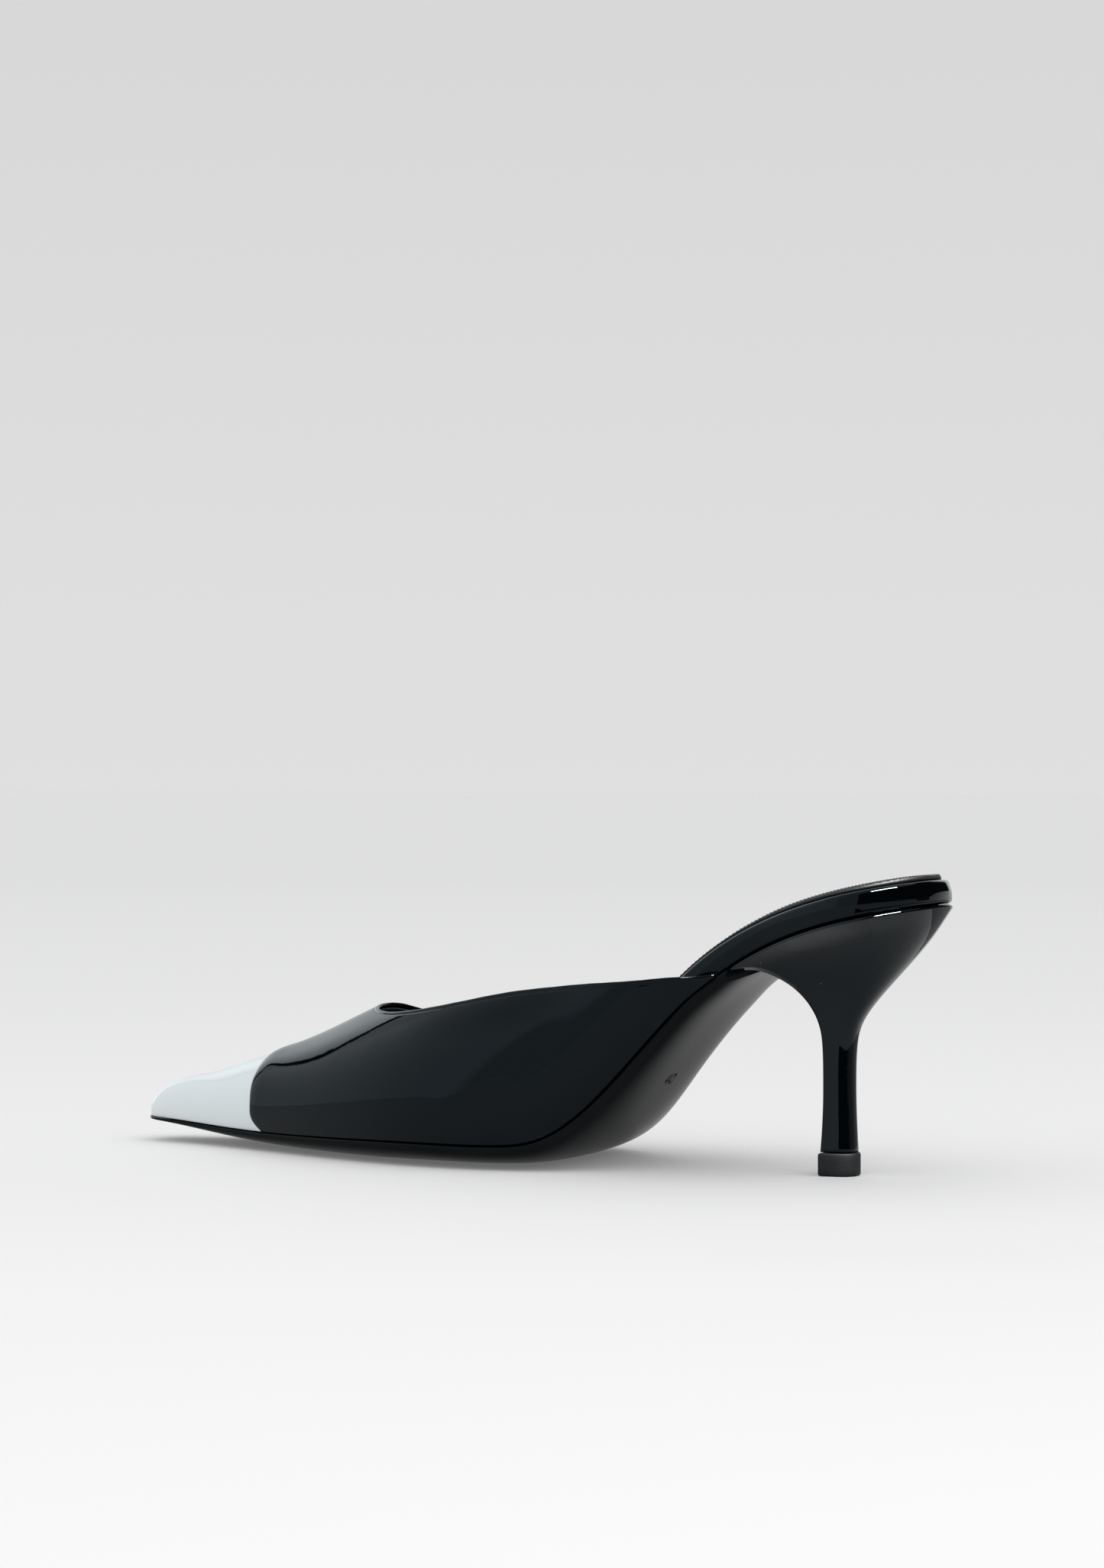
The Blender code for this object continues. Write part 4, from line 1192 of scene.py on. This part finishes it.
# The gap and the card behind lean with height, above the level where the vamp's side ends
above = calc(tree, "MAXIMUM", calc(tree, "SUBTRACT", elevation, LEAN_FROM), 0.0)
leaning = calc(tree, "MULTIPLY_ADD", above, LEAN, azimuth)
low = between(elevation, -90.0, GAP_TOP, 1.5)
dark_gap = calc(tree, "MULTIPLY", between(leaning, GAP_START, GAP_END, 0.7), low)
back_card = calc(tree, "MULTIPLY", between(leaning, -400.0, GAP_START, 0.7), low)
fading = remap(tree, azimuth, -176.0, -140.0, BACK_FAR_STRENGTH, BACK_NEAR_STRENGTH, soft=True)
nearer = remap(tree, azimuth, -152.0, -133.0, 1.0, BACK_EDGE_SHARE)
fading = calc(tree, "MULTIPLY", fading, nearer)
dark_side = between(azimuth, -18.0, 150.0, 1.0)
dark_side = calc(tree, "MULTIPLY", dark_side, between(elevation, -90.0, 47.0, 1.5))
left_card = between(azimuth, -130.0, -53.0, 6.0)
left_card = calc(tree, "MULTIPLY", left_card, between(elevation, -90.0, 44.0, 9.0))
light = laid_over(TENT_STRENGTH, left_card, LEFT_STRENGTH)
light = laid_over(light, dark_side, DARK_STRENGTH)
light = laid_over(light, back_card, fading)
light = laid_over(light, dark_gap, GAP_STRENGTH)
mirrored = add_node(tree, "Background", Color=MIRRORED_COLOUR, Strength=light)
overhead = remap(tree, rise, 0.0, 1.0, HORIZON_STRENGTH, ZENITH_STRENGTH)
tent = add_node(tree, "Background", Color=(1.0, 1.0, 1.0, 1), Strength=overhead)
# Painted shade: the backdrop that the camera sees grows darker upwards
shaded_backdrop = grey_ramp(tree, elevation, 0.0, BACKDROP_TOP, BACKDROP_PAINTED_SHADE)
seen = add_node(tree, "Background", Color=shaded_backdrop, Strength=1.0)
rays = add_node(tree, "LightPath").outputs
for ray, other in (("Is Glossy Ray", mirrored), ("Is Camera Ray", seen)):
    tent = add_node(tree, "MixShader", i0=rays[ray], i1=tent.outputs[0], i2=other.outputs[0])
add_node(tree, "OutputWorld", Surface=tent.outputs[0])


def studio_card(name, points, strength, one_sided=False):
    """A sheet through a grid of points that is seen only in gloss, glowing at a strength, on
    its front alone where one_sided is set."""
    card = make_skin(name, [points])
    material = bpy.data.materials.new(name)
    material.use_nodes = True
    tree = material.node_tree
    tree.nodes.clear()
    glow = add_node(tree, "Emission", Strength=strength).outputs[0]
    if one_sided:
        clear = add_node(tree, "BsdfTransparent").outputs[0]
        from_behind = add_node(tree, "NewGeometry").outputs["Backfacing"]
        glow = add_node(tree, "MixShader", i0=from_behind, i1=glow, i2=clear).outputs[0]
    add_node(tree, "OutputMaterial", Surface=glow)
    card.data.materials.append(material)
    card.visible_camera = False
    card.visible_diffuse = False
    card.visible_shadow = False
    card.visible_transmission = False


# Two bent cards round the heel: a black one whose end is ragged, and behind it a grey one.
# Columns: name, distance from the heel, azimuth of both ends, strength
HEEL_AT = np.array([0.095, 0.0, 0.0])
CARD_HEIGHT = 0.047
height = np.linspace(0, CARD_HEIGHT, 160)[None, :]
ragged = 7 * np.sin(height / 0.0005) + 5 * np.sin(height / 0.00021 + 1)
ragged = ragged + 4 * np.sin(height / 0.0011)
for name, away, first, last, strength in (
    ("dark_card", 0.15, -16, 48 + ragged, 0.0),
    ("grey_card", 0.155, 30, 147, 0.30),
):
    turn = np.radians(first + (last - first) * np.linspace(0, 1, 40)[:, None])
    bent = away * np.stack([np.cos(turn), np.sin(turn)], -1) @ np.stack([to_camera, to_right])
    bent = HEEL_AT + bent + height[..., None] * np.array([0.0, 0.0, 1.0])
    studio_card(name, bent, strength)

# A shield just behind the stem hides the stem's own image in the hollow under the seat
SHIELD_STRENGTH = 0.60
shield_x = np.linspace(0.112, 0.082, 3)[:, None]
shield_z = np.linspace(0.002, 0.052, 3)[None, :]
shield = np.stack(np.broadcast_arrays(shield_x, -0.0078, shield_z), -1)
studio_card("shield_card", shield, SHIELD_STRENGTH, True)

# The lit strip, square to the way from the seat to it
STRIP_ELEVATION = 56
STRIP_AZIMUTH = 34
STRIP_DISTANCE = 0.9
STRIP_LENGTH = 0.60
STRIP_WIDTH = 0.18
STRIP_STRENGTH = 300.0
SEAT_LEVEL = 0.075
rise, turn = np.radians([STRIP_ELEVATION, STRIP_AZIMUTH])
strip_way = np.cos(rise) * (np.cos(turn) * to_camera + np.sin(turn) * to_right)
strip_way = strip_way + (0, 0, np.sin(rise))
strip_along = np.cos(turn) * to_right - np.sin(turn) * to_camera
strip_up = np.cross(strip_way, strip_along)
way = np.linspace(-0.5, 0.5, 2)
strip = HEEL_AT + (0, 0, SEAT_LEVEL) + STRIP_DISTANCE * strip_way
strip = strip + way[:, None, None] * STRIP_LENGTH * strip_along
strip = strip + way[None, :, None] * STRIP_WIDTH * strip_up
studio_card("strip_card", strip, STRIP_STRENGTH)

# The camera stands behind the side view, level, and a little above the heel
CAMERA_TURN = 27
CAMERA_X = 0.45415
CAMERA_Y = -0.8764
CAMERA_HEIGHT = 0.1051
camera_data = bpy.data.cameras.new("camera")
camera_data.lens = 80.66
camera_data.sensor_width = 36
camera = bpy.data.objects.new("camera", camera_data)
camera.location = (CAMERA_X, CAMERA_Y + foot_axis, CAMERA_HEIGHT)
camera.rotation_euler = (np.pi / 2, 0, np.radians(CAMERA_TURN))
scene.collection.objects.link(camera)
scene.camera = camera
scene.view_settings.view_transform = "Standard"
